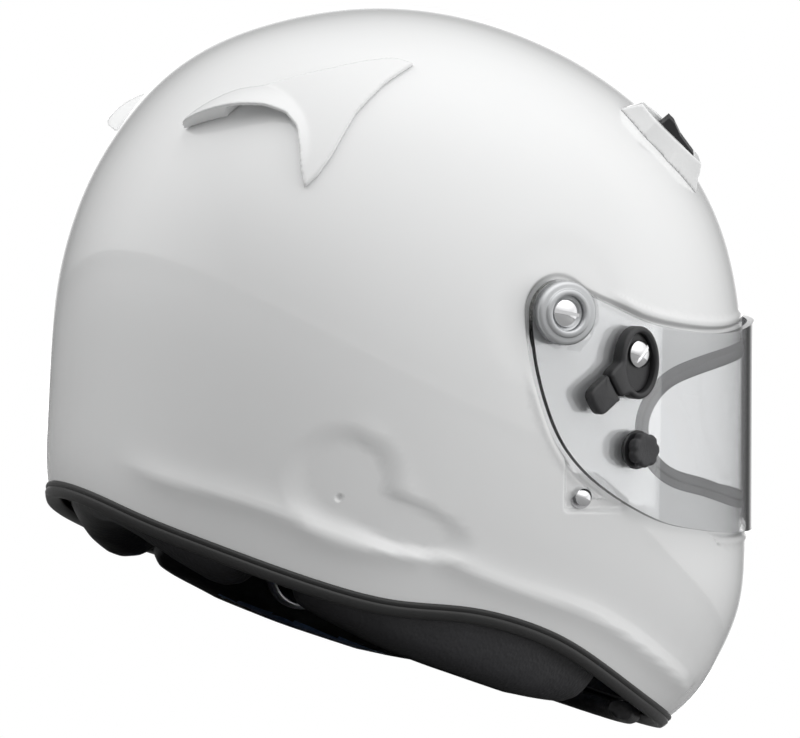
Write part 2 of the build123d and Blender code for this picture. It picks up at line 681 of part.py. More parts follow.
def make_stud():
    seat = stud_seat_x()
    head_foot = seat + STUD_WASHER + STUD_NECK
    washer = left_post(STUD_FORWARD, -STUD_DROP, STUD_WASHER_RADIUS, seat, seat + STUD_WASHER)
    washer -= left_post(STUD_FORWARD, -STUD_DROP, STUD_NECK_RADIUS, seat - OVERRUN, seat + OVERRUN)
    head = side_plane(STUD_FORWARD, -STUD_DROP, head_foot) * domed_head(STUD_RADIUS, STUD_EDGE, STUD_DOME)
    wall = SHELL_WALL - STUD_SEAT_DEPTH
    neck = left_post(STUD_FORWARD, -STUD_DROP, STUD_NECK_RADIUS, seat - wall, head_foot)
    return washer, head + neck


# Exhaust and intake covers

def exhaust_plane():
    origin = Vector(EXHAUST_X, y_of(-EXHAUST_BACK), EXHAUST_HEIGHT)
    step = SHELL_WALL
    slope_forward = shell_half(-EXHAUST_BACK + step, EXHAUST_HEIGHT) - shell_half(-EXHAUST_BACK, EXHAUST_HEIGHT)
    slope_up = shell_half(-EXHAUST_BACK, EXHAUST_HEIGHT + step) - shell_half(-EXHAUST_BACK, EXHAUST_HEIGHT)
    normal = Vector(step, slope_forward, -slope_up)
    level = Vector(0, 0, 1).cross(normal)
    return Plane(origin=origin, x_dir=level, z_dir=normal)


def exhaust_spot(shares):
    return (-shares[0] * EXHAUST_SPAN, shares[1] * EXHAUST_SPAN)


def exhaust_column(spot, radius):
    return extrude(exhaust_plane() * (Pos(*spot) * Circle(radius)), OVERRUN, both=True)


def make_exhaust(outer):
    place = exhaust_plane()
    points = [exhaust_spot(shares) for shares in EXHAUST_SHARES]
    outline = make_face(Polyline(*points, close=True))
    column = extrude(place * outline, OVERRUN, both=True)
    bump_place = Pos(*exhaust_spot(EXHAUST_BUMP_SHARES), -EXHAUST_BUMP_DEPTH)
    bump = place * (bump_place * Sphere(EXHAUST_BUMP_RADIUS))
    skin = (column & dome(-EXHAUST_SKIN)) + (column & bump)
    mouth = exhaust_column(exhaust_spot(EXHAUST_MOUTH_SHARES), EXHAUST_MOUTH_RADIUS)
    mouth = mouth & (place * (bump_place * Sphere(EXHAUST_BUMP_RADIUS - EXHAUST_WALL)))
    return skin - outer - mouth


def exhaust_port():
    return exhaust_column(exhaust_spot(EXHAUST_PORT_SHARES), EXHAUST_PORT_RADIUS)


def intake_plane(outer):
    line = Axis((INTAKE_X, y_of(INTAKE_FORWARD), SHELL_TOP), (0, 0, -1))
    point, normal = outer.find_intersection_points(line)[0]
    if normal.Z < 0:
        normal = -normal
    ahead = Vector(0, -1, 0)
    along = ahead - normal * ahead.dot(normal)
    return Plane(origin=point, x_dir=along, z_dir=normal)


def intake_face(shares):
    points = [(along * INTAKE_LENGTH, across * INTAKE_WIDTH) for along, across in shares]
    return make_face(Polyline(*points, close=True))


def slider_grip():
    """Wedge that stands up at the rear and falls away forwards in a hollow curve."""
    half = SLIDER_LENGTH / 2
    profile = Polyline((-half, 0), (-half, SLIDER_RISE), (-SLIDER_LENGTH / 3, SLIDER_RISE),
                       (0, SLIDER_MIDDLE_RISE), (half, 0), close=True)
    grip = extrude(Plane.XZ * make_face(profile), SLIDER_WIDTH / 2, both=True)
    return grip.moved(Pos(0, 0, SLIDER_SLOT_DEPTH))


def make_intake(outer):
    place = intake_plane(outer)
    foot = intake_face(INTAKE_SHARES).moved(Pos(0, 0, -INTAKE_SUNK))
    body = loft([foot, intake_face(INTAKE_TOP_SHARES).moved(Pos(0, 0, INTAKE_HEIGHT))], ruled=True)
    along, across = SLIDER_PLACE_SHARES
    seat = Pos(along * INTAKE_LENGTH, across * INTAKE_WIDTH) * Rot(0, 0, SLIDER_TURN)
    groove = Box(SLIDER_SLOT_LENGTH, SLIDER_WIDTH + 2 * SLIDER_FIT, 2 * SLIDER_SLOT_DEPTH)
    body -= seat * groove.moved(Pos(0, 0, INTAKE_HEIGHT))
    port_ahead = SLIDER_SLOT_LENGTH / 2 - 2 * INTAKE_PORT_RADIUS
    port = seat * extrude(Pos(port_ahead, 0) * Circle(INTAKE_PORT_RADIUS), OVERRUN / 2, both=True)
    cover = place * (body - port) - outer
    start = (SLIDER_SLOT_LENGTH - SLIDER_LENGTH) / 2 - SLIDER_FIT
    floor = INTAKE_HEIGHT - SLIDER_SLOT_DEPTH + SLIDER_FIT
    slide = Box(SLIDER_LENGTH, SLIDER_WIDTH, SLIDER_SLOT_DEPTH, align=(Align.CENTER, Align.CENTER, Align.MIN))
    slider = place * (seat * (slide + slider_grip()).moved(Pos(start, 0, floor)))
    return cover, slider, place * port


# Head space, liners and pads

def head_space(grow=0.0):
    centre = worn_point(0, -HEAD_CENTRE_BACK, -HEAD_CENTRE_DROP)
    place = Plane(origin=centre, x_dir=(1, 0, 0), z_dir=worn_vector(0, 1))
    half = (HEAD_HALF_WIDTH + grow, HEAD_HALF_LENGTH + grow, HEAD_HALF_HEIGHT + grow)
    upper = scale(Sphere(1), by=half)
    lower = extrude(Ellipse(half[0], half[1]), -SHELL_TOP)
    return place * (upper + lower)


def below_liner(margin=0.0):
    points = visor_points(LINER_EDGE_SHARES)
    face = make_face(Polyline(*points, close=True))
    return side_prism(face, margin)


def worn_slab(back, front, low, high):
    """Block across the helmet between worn limits."""
    face = Pos((back + front) / 2, (low + high) / 2) * Rectangle(front - back, high - low)
    return side_prism(face)


def make_liner(vents):
    pockets = left_post(0, 0, NUT_RADIUS + NUT_POCKET_CLEARANCE, 0, SHELL_HALF_WIDTH)
    nut_top = visor_side_x(NUT_RADIUS, VISOR_SHEET + VISOR_GAP + SHELL_WALL)
    depth = nut_top - NUT_HEIGHT - NUT_POCKET_CLEARANCE
    pockets -= left_post(0, 0, NUT_RADIUS + 2 * NUT_POCKET_CLEARANCE, -OVERRUN, depth)
    liner = hollow(PIECE_FIT) - below_liner() - head_space(COMFORT_THICKNESS)
    for cut in (pockets, mirrored(pockets), *vents):
        liner -= cut
    return liner


def make_comfort():
    skin = head_space(COMFORT_THICKNESS - PIECE_FIT) - head_space() - below_liner(PIECE_FIT)
    reach = SHELL_FRONT
    crown = skin & worn_slab(-reach, reach, CROWN_PAD_EDGE, SHELL_TOP)
    split = CROWN_PAD_EDGE - PAD_SPLIT
    brow = skin & worn_slab(BROW_PAD_BACK, reach, -SHELL_TOP, split)
    band = skin & worn_slab(-reach, BROW_PAD_BACK - PAD_SPLIT, -SHELL_TOP, split)
    return crown, brow, band


def make_chin_liner():
    outside = hollow(2 * PIECE_FIT + CHIN_FILTER)
    inside = dome(SHELL_WALL + CHIN_LINER_THICKNESS)
    points = [(CHIN_LINER_BACK, -CHIN_LINER_TOP), (2 * SHELL_FRONT, -CHIN_LINER_TOP),
              (2 * SHELL_FRONT, -SHELL_TOP), (CHIN_LINER_BACK, -SHELL_TOP)]
    zone = side_prism(make_face(Polyline(*points, close=True)))
    above = below_rim(TRIM_ABOVE + PIECE_FIT)
    return (outside & zone) - inside - above - chin_vent_slots()


def pad_outer_x(forward, height):
    """Outer face of a cheek pad, inside the shell wall, the wing's step and the trim."""
    ahead, up = worn_side(forward, height)
    rim = rim_height(forward)
    reach = shell_half(forward, max(height, rim - TRIM_BELOW)) - SHELL_WALL
    if height < rim + TRIM_ABOVE + 2 * PAD_CLEARANCE:
        reach -= TRIM_INSIDE
    if up > -VISOR_DROP - WING_RADIUS and ahead > -2 * WING_RADIUS:
        reach = min(reach, visor_side_x(ahead, VISOR_SHEET + VISOR_GAP + SHELL_WALL))
    return reach - PAD_CLEARANCE


def cheek_section(row):
    forward = row[0] * CHEEK_LENGTH
    foot, top, inner = row[1] * CHEEK_FOOT, row[2] * CHEEK_TOP, row[3] * CHEEK_HALF_GAP
    fill = row[4]
    shoulder = CHEEK_SHOULDER
    tall = top - foot
    trim_top = rim_height(forward) + TRIM_ABOVE + PAD_CLEARANCE
    heights = (trim_top, trim_top + CHEEK_SHOULDER, foot + CHEEK_OUTER_SHARE * tall)
    outer_points = [(pad_outer_x(forward, height), height) for height in heights]
    low_x = pad_outer_x(forward, foot + shoulder) - CHEEK_DRAW / 2
    high_x = pad_outer_x(forward, top - shoulder) - CHEEK_DRAW / 2
    points = [((low_x + inner) / 2, foot), (low_x, foot + shoulder), *outer_points,
              (high_x, top - shoulder), ((high_x + inner) / 2, top),
              (inner + CHEEK_DRAW, top - shoulder), (inner, foot + tall / 2),
              (inner + CHEEK_DRAW, foot + shoulder)]
    middle = ((low_x + inner) / 2, (foot + top) / 2)
    plane = Plane(origin=(0, y_of(forward), 0), x_dir=(1, 0, 0), z_dir=(0, -1, 0))
    shrunk = [(middle[0] + (x - middle[0]) * fill, middle[1] + (z - middle[1]) * fill) for x, z in points]
    return plane * make_face(Spline(*shrunk, periodic=True))


def standing_cut(shape):
    """Cut flat where the shape meets the surface it stands on."""
    ground = Box(4 * SHELL_HALF_WIDTH, 4 * SHELL_FRONT, OVERRUN, align=(Align.CENTER, Align.CENTER, Align.MAX))
    return shape - ground


def make_cheek():
    pad = loft([cheek_section(row) for row in CHEEK_SHARES])
    slot = strap_band(STRAP_END_HEIGHT, STRAP_SLOT_CLEARANCE)
    return standing_cut(pad) - slot - anchor_pocket()


def ring_section(turn_share, foot, top, width, fill):
    """Oval section of a roll that lies against the inside of the rim."""
    inset = SHELL_WALL + TRIM_INSIDE + PAD_CLEARANCE
    level = (foot + top) / 2
    seat = foot + ROLL_SEAT_SHARE * (top - foot)
    edge = section_point(shares_at(seat), 2 * math.pi * turn_share, inset)
    edge = Vector(edge.X, edge.Y, level)
    centre = Vector(0, y_of(NECK_CENTRE_FORWARD), level)
    inward = (centre - edge).normalized()
    plane = Plane(origin=edge + inward * (width / 2), x_dir=inward, z_dir=inward.cross(Vector(0, 0, 1)))
    half_width, half_height = fill * width / 2, fill * (top - foot) / 2
    turns = [step * 2 * math.pi / ROLL_STEPS for step in range(ROLL_STEPS)]
    oval = Spline(*[(half_width * math.cos(turn), half_height * math.sin(turn)) for turn in turns], periodic=True)
    return plane * make_face(oval)


def make_neck_roll():
    half = [(turn, foot * RIM_RISE, top * RIM_RISE) for turn, foot, top in ROLL_SHARES]
    rows = half + [(1 - turn, foot, top) for turn, foot, top in reversed(half[:-1])]
    last = len(rows) - 1
    sections = [ring_section(turn, foot, top, ROLL_WIDTH, ROLL_END_FILL if index in (0, last) else 1)
                for index, (turn, foot, top) in enumerate(rows)]
    return loft(sections)


def make_chin_lip():
    turns = CHIN_LIP_TURN_SHARES + [-turn for turn in reversed(CHIN_LIP_TURN_SHARES[:-1])]
    top = CHIN_LIP_FOOT + CHIN_LIP_HEIGHT
    return loft([ring_section(turn, CHIN_LIP_FOOT, top, CHIN_LIP_WIDTH, 1) for turn in turns])


# Chin strap, anchors and D-rings, all on the wearer's left

ACROSS = Plane(origin=(0, y_of(STRAP_FORWARD), 0), x_dir=(1, 0, 0), z_dir=(0, -1, 0))


def strap_line(end_height):
    """The strap's middle line in the upright plane across the helmet."""
    depth = SHELL_WALL + ANCHOR_PLATE + RIVET_HEAD + PIECE_FIT + STRAP_THICKNESS / 2
    points = [(shell_half(STRAP_FORWARD, height) - depth, height) for height in STRAP_WALL_HEIGHTS]
    return points + [(STRAP_INSIDE, STRAP_TURN_HEIGHT), (STRAP_INSIDE, end_height)]


def strap_band(end_height, margin=0.0):
    band = trace(Polyline(*strap_line(end_height)), STRAP_THICKNESS + 2 * margin)
    return extrude(ACROSS * band, STRAP_WIDTH / 2 + margin, both=True)


def make_anchor():
    """Riveted steel plate that follows the inside of the shell."""
    plane = Plane(origin=(0, y_of(STRAP_FORWARD), ANCHOR_HEIGHT), x_dir=(0, -1, 0), z_dir=(1, 0, 0))
    block = extrude(plane * RectangleRounded(STRAP_WIDTH, ANCHOR_PLATE_HEIGHT, RIVET_RADIUS), SHELL_HALF_WIDTH)
    plate = (block & dome(SHELL_WALL + ANCHOR_FIT)) - dome(SHELL_WALL + ANCHOR_PLATE)
    depth = shell_half(STRAP_FORWARD, ANCHOR_HEIGHT) - SHELL_WALL - ANCHOR_PLATE - RIVET_HEAD
    for spot in GridLocations(2 * RIVET_SPREAD, RIVET_SPREAD, 2, 1):
        head = extrude(Circle(RIVET_RADIUS), ANCHOR_PLATE + RIVET_HEAD / 2)
        plate += plane * spot * Pos(0, 0, depth) * head
    return plate


def anchor_pocket():
    plane = Plane(origin=(0, y_of(STRAP_FORWARD), ANCHOR_HEIGHT), x_dir=(0, -1, 0), z_dir=(1, 0, 0))
    margin = 2 * STRAP_SLOT_CLEARANCE
    face = plane * Rectangle(STRAP_WIDTH + margin, ANCHOR_PLATE_HEIGHT + margin)
    depth = shell_half(STRAP_FORWARD, STRAP_WALL_HEIGHTS[1]) - SHELL_WALL - ANCHOR_PLATE - 2 * RIVET_HEAD
    return extrude(face, SHELL_HALF_WIDTH) - extrude(face, depth)


def ring_offset():
    return RING_WIRE_RADIUS + RING_GAP / 2


def make_left_strap():
    band = strap_band(STRAP_LOOP_HEIGHT)
    bore = RING_WIRE_RADIUS + RING_BORE_CLEARANCE
    outer = bore + STRAP_THICKNESS
    long = 2 * ring_offset()
    loop = Pos(STRAP_INSIDE, STRAP_LOOP_HEIGHT) * SlotCenterToCenter(long, 2 * outer)
    hole = Pos(STRAP_INSIDE, STRAP_LOOP_HEIGHT) * SlotCenterToCenter(long, 2 * bore)
    band += extrude(ACROSS * loop, STRAP_WIDTH / 2, both=True)
    return band - extrude(ACROSS * hole, STRAP_WIDTH, both=True)


def make_d_ring(side):
    """One ring, hanging from its straight bar in the strap's loop."""
    x = STRAP_INSIDE + side * ring_offset()
    plane = Plane(origin=(x, y_of(STRAP_FORWARD), STRAP_LOOP_HEIGHT), x_dir=(0, 1, 0), z_dir=(1, 0, 0))
    reach = RING_HALF_WIDTH - RING_WIRE_RADIUS
    bow_line = plane * ThreePointArc((reach, 0), (0, -RING_DROP), (-reach, 0))
    start = Plane(origin=bow_line @ 0, z_dir=bow_line % 0)
    bow = sweep(start * Circle(RING_WIRE_RADIUS), path=bow_line)
    bar_start = Plane(origin=bow_line @ 0, z_dir=-plane.x_dir)
    bar = extrude(bar_start * Circle(RING_WIRE_RADIUS), 2 * reach)
    corners = [Pos(*(bow_line @ end)) * Sphere(RING_WIRE_RADIUS) for end in (0, 1)]
    return bow + bar + corners[0] + corners[1]


def write(name, shape):
    export_step(shape, "parts/" + name + ".step")


def write_pair(name, left):
    write(name + "_left", left)
    write(name + "_right", mirrored(left))


def build_shell_side():
    outer = dome()
    cover, slider, intake_port = make_intake(outer)
    exhaust = exhaust_port()
    vents = [intake_port, mirrored(intake_port), exhaust, mirrored(exhaust)]
    shell = make_shell(outer, vents)
    write("outer_shell", shell)
    write("eye_port_gasket", make_gasket(shell))
    write("base_edge_trim", make_trim(shell))
    write("impact_liner", make_liner(vents))
    write_pair("exhaust_cover", make_exhaust(outer))
    write_pair("intake_cover", cover)
    write_pair("intake_slider", slider)
    washer, stud = make_stud()
    write_pair("stay_washer", washer)
    write_pair("stay_stud", stud)
    write("chin_filter", make_chin_filter())
    write("chin_liner", make_chin_liner())


def build_visor_side():
    visor_core = visor_cylinder(0)
    write("visor", make_visor())
    for name, piece in zip(("bush", "disc", "screw", "nut"), make_pivot()):
        write_pair("pivot_" + name, piece)
    write_pair("lock_ring", make_lock_ring(visor_core))
    write_pair("lock_lever", make_lock_lever())
    write_pair("lock_screw", make_dome_screw())
    base, cap = make_post(visor_core)
    write_pair("tear_off_base", base)
    write_pair("tear_off_cap", cap)


def build_inside():
    crown, brow, band = make_comfort()
    write("crown_pad", crown)
    write("brow_pad", brow)
    write("head_band_pad", band)
    write_pair("cheek_pad", make_cheek())
    write("neck_roll", make_neck_roll())
    write("chin_lip_pad", make_chin_lip())
    write_pair("strap_anchor", make_anchor())
    write("chin_strap_left", make_left_strap())
    write("chin_strap_right", mirrored(strap_band(STRAP_END_HEIGHT)))
    write("d_ring_outer", make_d_ring(1))
    write("d_ring_inner", make_d_ring(-1))


if __name__ == "__main__":
    build_shell_side()
    build_visor_side()
    build_inside()
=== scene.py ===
import math

import bmesh
import bpy
import numpy as np
from bpy.props import FloatProperty, FloatVectorProperty, IntProperty, PointerProperty
from mathutils import Matrix, Vector

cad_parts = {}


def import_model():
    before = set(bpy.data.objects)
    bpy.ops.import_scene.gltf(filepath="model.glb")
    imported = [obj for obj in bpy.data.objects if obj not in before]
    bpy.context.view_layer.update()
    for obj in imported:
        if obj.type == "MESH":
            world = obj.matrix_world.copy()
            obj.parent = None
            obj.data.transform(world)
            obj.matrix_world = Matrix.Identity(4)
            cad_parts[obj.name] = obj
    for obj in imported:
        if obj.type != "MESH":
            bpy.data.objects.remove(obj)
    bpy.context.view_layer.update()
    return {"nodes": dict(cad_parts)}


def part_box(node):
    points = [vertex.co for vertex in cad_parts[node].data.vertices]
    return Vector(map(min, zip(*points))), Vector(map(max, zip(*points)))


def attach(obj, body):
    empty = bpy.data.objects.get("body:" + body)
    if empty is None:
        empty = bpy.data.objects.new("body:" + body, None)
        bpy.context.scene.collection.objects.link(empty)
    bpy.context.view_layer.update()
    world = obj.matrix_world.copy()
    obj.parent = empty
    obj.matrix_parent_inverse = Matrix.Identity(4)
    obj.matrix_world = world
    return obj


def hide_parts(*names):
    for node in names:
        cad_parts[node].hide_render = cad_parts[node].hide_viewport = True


bl_info = {
    "name": "Auto racing helmet",
    "version": (1, 0, 0),
    "blender": (4, 5, 0),
    "location": "View3D > Sidebar > Helmet",
    "description": "Dresses the packed model of an auto racing helmet",
    "category": "Object",
}

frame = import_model()

# Forms are worked out in millimetres as x to the wearer's left, f forward and z up, or in the
# worn helmet's frame as x, u forward and v up from the visor's pivot.
MM = 0.001
STATION_Y = 27.0
PIVOT_F, PIVOT_Z = 16.9, 152.2
TILT = math.radians(21.0)
COS, SIN = math.cos(TILT), math.sin(TILT)

SHELL_SIZES = np.array([273.2, 198.0, 144.0, 125.5])
SHELL_SECTIONS = np.array([
    (0.000, 0.862, 0.715, 0.800), (0.052, 0.915, 0.765, 0.842), (0.110, 0.966, 0.820, 0.886),
    (0.183, 0.994, 0.868, 0.933), (0.275, 0.998, 0.925, 0.973), (0.366, 0.958, 0.975, 0.996),
    (0.461, 0.902, 1.000, 1.000), (0.553, 0.846, 0.997, 0.985), (0.646, 0.796, 0.962, 0.948),
    (0.739, 0.734, 0.892, 0.880), (0.813, 0.668, 0.792, 0.790), (0.879, 0.582, 0.650, 0.666),
    (0.930, 0.485, 0.496, 0.528), (0.968, 0.370, 0.330, 0.375), (0.991, 0.245, 0.158, 0.220),
    (1.000, 0.095, -0.040, 0.036),
])
RIM_SHARES = np.array([
    (-0.86, 0.84), (-0.585, 0.65), (-0.50, 0.52), (-0.407, 0.46), (-0.316, 0.435),
    (-0.157, 0.435), (-0.010, 0.53), (0.141, 0.76), (0.265, 0.85), (0.379, 0.84),
    (0.515, 0.72), (0.677, 0.555), (0.848, 0.45), (1.20, 0.42),
])
VISOR_SIZES = np.array([142.8, 97.5])
VISOR_A, VISOR_B, VISOR_BACK = 125.6, 160.4, 16.6
# Rim faces of the visor whose scene y lies below this many millimetres, at its front, carry a painted shade
# finish.
PAINTED_EDGE_SHADE_FROM = -75.0
RECESS = 5.3
RECESS_A, RECESS_B = VISOR_A - RECESS, VISOR_B - RECESS
VISOR_TOP_SHARES = [(0.179, 0.023), (0.280, -0.036), (0.390, -0.076), (0.525, -0.103),
                    (0.700, -0.113), (0.875, -0.087), (1.120, -0.040)]
VISOR_FOOT_SHARES = [(1.120, -1.005), (0.680, -0.985), (0.525, -0.949), (0.390, -0.908),
                     (0.266, -0.836), (0.147, -0.738), (0.074, -0.656), (0.000, -0.528),
                     (-0.042, -0.400), (-0.082, -0.195)]
PORT_SHARES = [(1.12, -0.205), (0.763, -0.246), (0.490, -0.302), (0.371, -0.374),
               (0.322, -0.500), (0.368, -0.626), (0.546, -0.728), (0.750, -0.810), (1.12, -0.850)]
STUD_POCKET_SHARES = [(0.040, -0.585), (0.050, -0.805), (0.225, -0.815)]
PORT_EDGE = 2.5
SHELL_WALL, VISOR_WALL = 3.5, 3.0
VENT_HEIGHTS, VENT_HALF, VENT_RADIUS = (57.0, 67.0), 14.5, 2.5
HOLLOW_F, HOLLOW_Z = -44, 60
DIMPLE_F, DIMPLE_Z = -43.0, 51.0
WING_RADIUS = 13.5
WING_TOP = 124.92
LOCK_PLACE = (35.5, -21.0)
LOCK_TURN = math.radians(-34.0)
POST_PLACE = (36.8, -56.8)
STUD_PLACE = (12.5, -75.5)


# Curves, frames and fields

def run_along(points):
    """Length run at each point of a line."""
    return np.concatenate([[0], np.cumsum(np.linalg.norm(np.diff(points, axis=0), axis=1))])


def unit(vectors, least=0.0):
    return vectors / np.maximum(np.linalg.norm(vectors, axis=1), least)[:, None]


def around(line):
    """Direction at each point of a closed line, not of unit length."""
    return np.roll(line, -1, axis=0) - np.roll(line, 1, axis=0)


def full_turn(count):
    return np.linspace(0, 2 * math.pi, count, endpoint=False)


def polar(reach, turns):
    return np.stack([reach * np.cos(turns), reach * np.sin(turns)], axis=1)


def turned(points, turn):
    c, s = math.cos(turn), math.sin(turn)
    x, y = points.T
    return np.stack([x * c - y * s, x * s + y * c], axis=1)


def smooth_line(points, count, ends=None):
    """Points along the smooth curve through the given points, which may have set end directions."""
    p = np.asarray(points, float)
    t = run_along(p)
    step, n = np.diff(t), len(p)
    slope = np.diff(p, axis=0) / step[:, None]
    a, b = np.zeros((n, n)), np.zeros(p.shape)
    for i in range(1, n - 1):
        a[i, i - 1:i + 2] = step[i - 1], 2 * (step[i - 1] + step[i]), step[i]
        b[i] = 6 * (slope[i] - slope[i - 1])
    if ends:
        a[0, :2], a[-1, -2:] = (2 * step[0], step[0]), (step[-1], 2 * step[-1])
        b[0] = 6 * (slope[0] - np.array(ends[0]))
        b[-1] = 6 * (np.array(ends[1]) - slope[-1])
    else:
        a[0, 0] = a[-1, -1] = 1
    bend = np.linalg.solve(a, b)
    spots = np.linspace(0, t[-1], count)
    i = np.clip(np.searchsorted(t, spots, side="right") - 1, 0, n - 2)
    h, left = step[i][:, None], (t[i + 1] - spots)[:, None]
    right = (spots - t[i])[:, None]
    return (bend[i] * left ** 3 + bend[i + 1] * right ** 3) / (6 * h) \
        + (p[i] / h - bend[i] * h / 6) * left + (p[i + 1] / h - bend[i + 1] * h / 6) * right


def smooth_step(low, high, value):
    share = np.clip((value - low) / (high - low), 0, 1)
    return share * share * (3 - 2 * share)


def worn(f, z):
    """Worn u and v of a standing place."""
    return (f - PIVOT_F) * COS + (z - PIVOT_Z) * SIN, (z - PIVOT_Z) * COS - (f - PIVOT_F) * SIN


def standing(u, v):
    return PIVOT_F + u * COS - v * SIN, PIVOT_Z + u * SIN + v * COS


def from_worn(points):
    """Standing x, f, z of worn x, u, v points."""
    points = np.asarray(points, float)
    f, z = standing(points[..., 1], points[..., 2])
    return np.stack([points[..., 0], f, z], axis=-1)


def edge_distance(u, v, outline, margin=14.0):
    """Distance to an outline, negative inside it. Far places get the margin."""
    result = np.full(len(u), margin)
    low, high = outline.min(0) - margin, outline.max(0) + margin
    near = np.flatnonzero((u > low[0]) & (u < high[0]) & (v > low[1]) & (v < high[1]))
    run = np.roll(outline, -1, axis=0) - outline
    size = np.maximum((run ** 2).sum(1), 1e-12)
    rise = np.where(run[:, 1] == 0, 1e-12, run[:, 1])
    for part in np.array_split(near, max(1, len(near) // 20000)):
        if not len(part):
            continue
        height = v[part][:, None]
        du, dv = u[part][:, None] - outline[:, 0], height - outline[:, 1]
        share = np.clip((du * run[:, 0] + dv * run[:, 1]) / size, 0, 1)
        gap = np.hypot(du - share * run[:, 0], dv - share * run[:, 1]).min(1)
        spans = (outline[:, 1] > height) != (outline[:, 1] + run[:, 1] > height)
        inside = (spans & (dv / rise * run[:, 0] > du)).sum(1) % 2 == 1
        result[part] = np.where(inside, -gap, gap)
    return result


def visor_outline():
    end = math.radians(50.0)
    shoulder = np.array([WING_RADIUS * math.cos(end), WING_RADIUS * math.sin(end)])
    top = np.vstack([[shoulder], np.array(VISOR_TOP_SHARES) * VISOR_SIZES])
    away = np.array([1, 0.2]) / math.hypot(1, 0.2)
    top = smooth_line(top, 120, ends=((math.sin(end), -math.cos(end)), away))
    foot = np.vstack([np.array(VISOR_FOOT_SHARES) * VISOR_SIZES, [[-WING_RADIUS, 0]]])
    foot = smooth_line(foot, 140, ends=((-1, 0), (0, 1)))
    return np.vstack([top, foot, polar(WING_RADIUS, np.linspace(math.pi, end, 40)[1:-1])])


VISOR_LINE = visor_outline()
PORT_LINE = smooth_line(np.array(PORT_SHARES) * VISOR_SIZES, 220, ends=((-1, 0), (1, 0)))
POCKET_LINE = np.array(STUD_POCKET_SHARES) * VISOR_SIZES
RIM_LINE = smooth_line(RIM_SHARES * (198.0, 31.5), 500)
PROFILE = smooth_line(SHELL_SECTIONS * SHELL_SIZES, 900)
RIDGES = [smooth_line(line, 60) for line in (
    [(-150, 47), (-128, 42.5), (-112, 38), (-86, 37), (-61, 38), (-39, 35), (-6, 41)],
    [(-42, 74), (-32, 66), (-15, 53), (1, 46), (38, 42), (83, 43), (128, 37), (164, 31)],
)]


def rim_height(f):
    return np.interp(f, RIM_LINE[:, 0], RIM_LINE[:, 1])


# Triangle nets that are split where detail needs it, cut along a field and given a wall

def net(rows, columns):
    """Points and triangles of a rectangular net over two coordinate lists."""
    grid = np.stack(np.meshgrid(rows, columns, indexing="ij"), axis=-1).reshape(-1, 2)
    n = len(columns)
    i, j = np.meshgrid(np.arange(len(rows) - 1), np.arange(n - 1), indexing="ij")
    a = (i * n + j).ravel()
    return grid, np.vstack([np.stack([a, a + 1, a + n + 1], 1), np.stack([a, a + n + 1, a + n], 1)])


def split(triangles, middles):
    done = []
    for turn in range(3):
        a, b, c = np.roll(triangles, -turn, axis=1).T
        ab, bc, ca = np.roll(middles, -turn, axis=1).T
        one = (ab >= 0) & (bc < 0) & (ca < 0)
        two = (ab >= 0) & (bc >= 0) & (ca < 0)
        done += [np.stack(t, 1)[one] for t in ((a, ab, c), (ab, b, c))]
        done += [np.stack(t, 1)[two] for t in ((ab, b, bc), (a, ab, bc), (a, bc, c))]
    a, b, c = triangles.T
    ab, bc, ca = middles.T
    three = (middles >= 0).all(1)
    done += [np.stack(t, 1)[three] for t in ((a, ab, ca), (ab, b, bc), (ca, bc, c), (ab, bc, ca))]
    return np.vstack([triangles[(middles < 0).all(1)]] + done)


def sides_of(triangles):
    return np.vstack([triangles[:, [0, 1]], triangles[:, [1, 2]], triangles[:, [2, 0]]])


def edges_of(triangles):
    edges, back = np.unique(np.sort(sides_of(triangles), axis=1), axis=0, return_inverse=True)
    return edges, back.reshape(3, -1).T


def refined(points, triangles, place, wanted, rounds):
    """Splits long edges until each is near the length wanted there."""
    spots = place(points)
    for _ in range(rounds):
        edges, of_triangle = edges_of(triangles)
        length = np.linalg.norm(spots[edges[:, 0]] - spots[edges[:, 1]], axis=1)
        long = length > 1.4 * wanted(spots)[edges].min(1)
        if not long.any():
            break
        number = np.full(len(edges), -1)
        number[long] = len(points) + np.arange(long.sum())
        fresh = points[edges[long]].mean(axis=1)
        points, spots = np.vstack([points, fresh]), np.vstack([spots, place(fresh)])
        triangles = split(triangles, number[of_triangle])
    return points, triangles


def clipped(points, triangles, field):
    """Keeps the side of the net where the field is above zero."""
    value = np.where(np.abs(field) < 1e-4, 1e-4, field)
    edges, of_triangle = edges_of(triangles)
    ends = value[edges]
    crossed = ends.prod(1) < 0
    share = ends[crossed, 0] / (ends[crossed, 0] - ends[crossed, 1])
    a, b = points[edges[crossed, 0]], points[edges[crossed, 1]]
    number = np.full(len(edges), -1)
    number[crossed] = len(points) + np.arange(crossed.sum())
    points = np.vstack([points, a + (b - a) * share[:, None]])
    middles, above = number[of_triangle], value[triangles] > 0
    done = [triangles[above.all(1)]]
    for turn in range(3):
        a, b, c = np.roll(triangles, -turn, axis=1).T
        ab, bc, ca = np.roll(middles, -turn, axis=1).T
        up_a, up_b, up_c = np.roll(above, -turn, axis=1).T
        done.append(np.stack([a, ab, ca], 1)[up_a & ~up_b & ~up_c])
        both = up_a & up_b & ~up_c
        done += [np.stack(t, 1)[both] for t in ((a, b, bc), (a, bc, ca))]
    return points, np.vstack(done)


def used(points, triangles):
    """Only the points in use, each once, and no triangle with a side of no length."""
    kept, triangles = np.unique(triangles, return_inverse=True)
    points, same = np.unique(points[kept], axis=0, return_inverse=True)
    triangles = same[triangles.reshape(-1, 3)]
    return points, triangles[(triangles != np.roll(triangles, 1, axis=1)).all(1)]


def normals_of(points, place, steps):
    """Unit normals by small steps along both coordinates."""
    a, b = (place(points + step) - place(points - step) for step in np.diag(steps))
    return unit(np.cross(a, b), 1e-12)


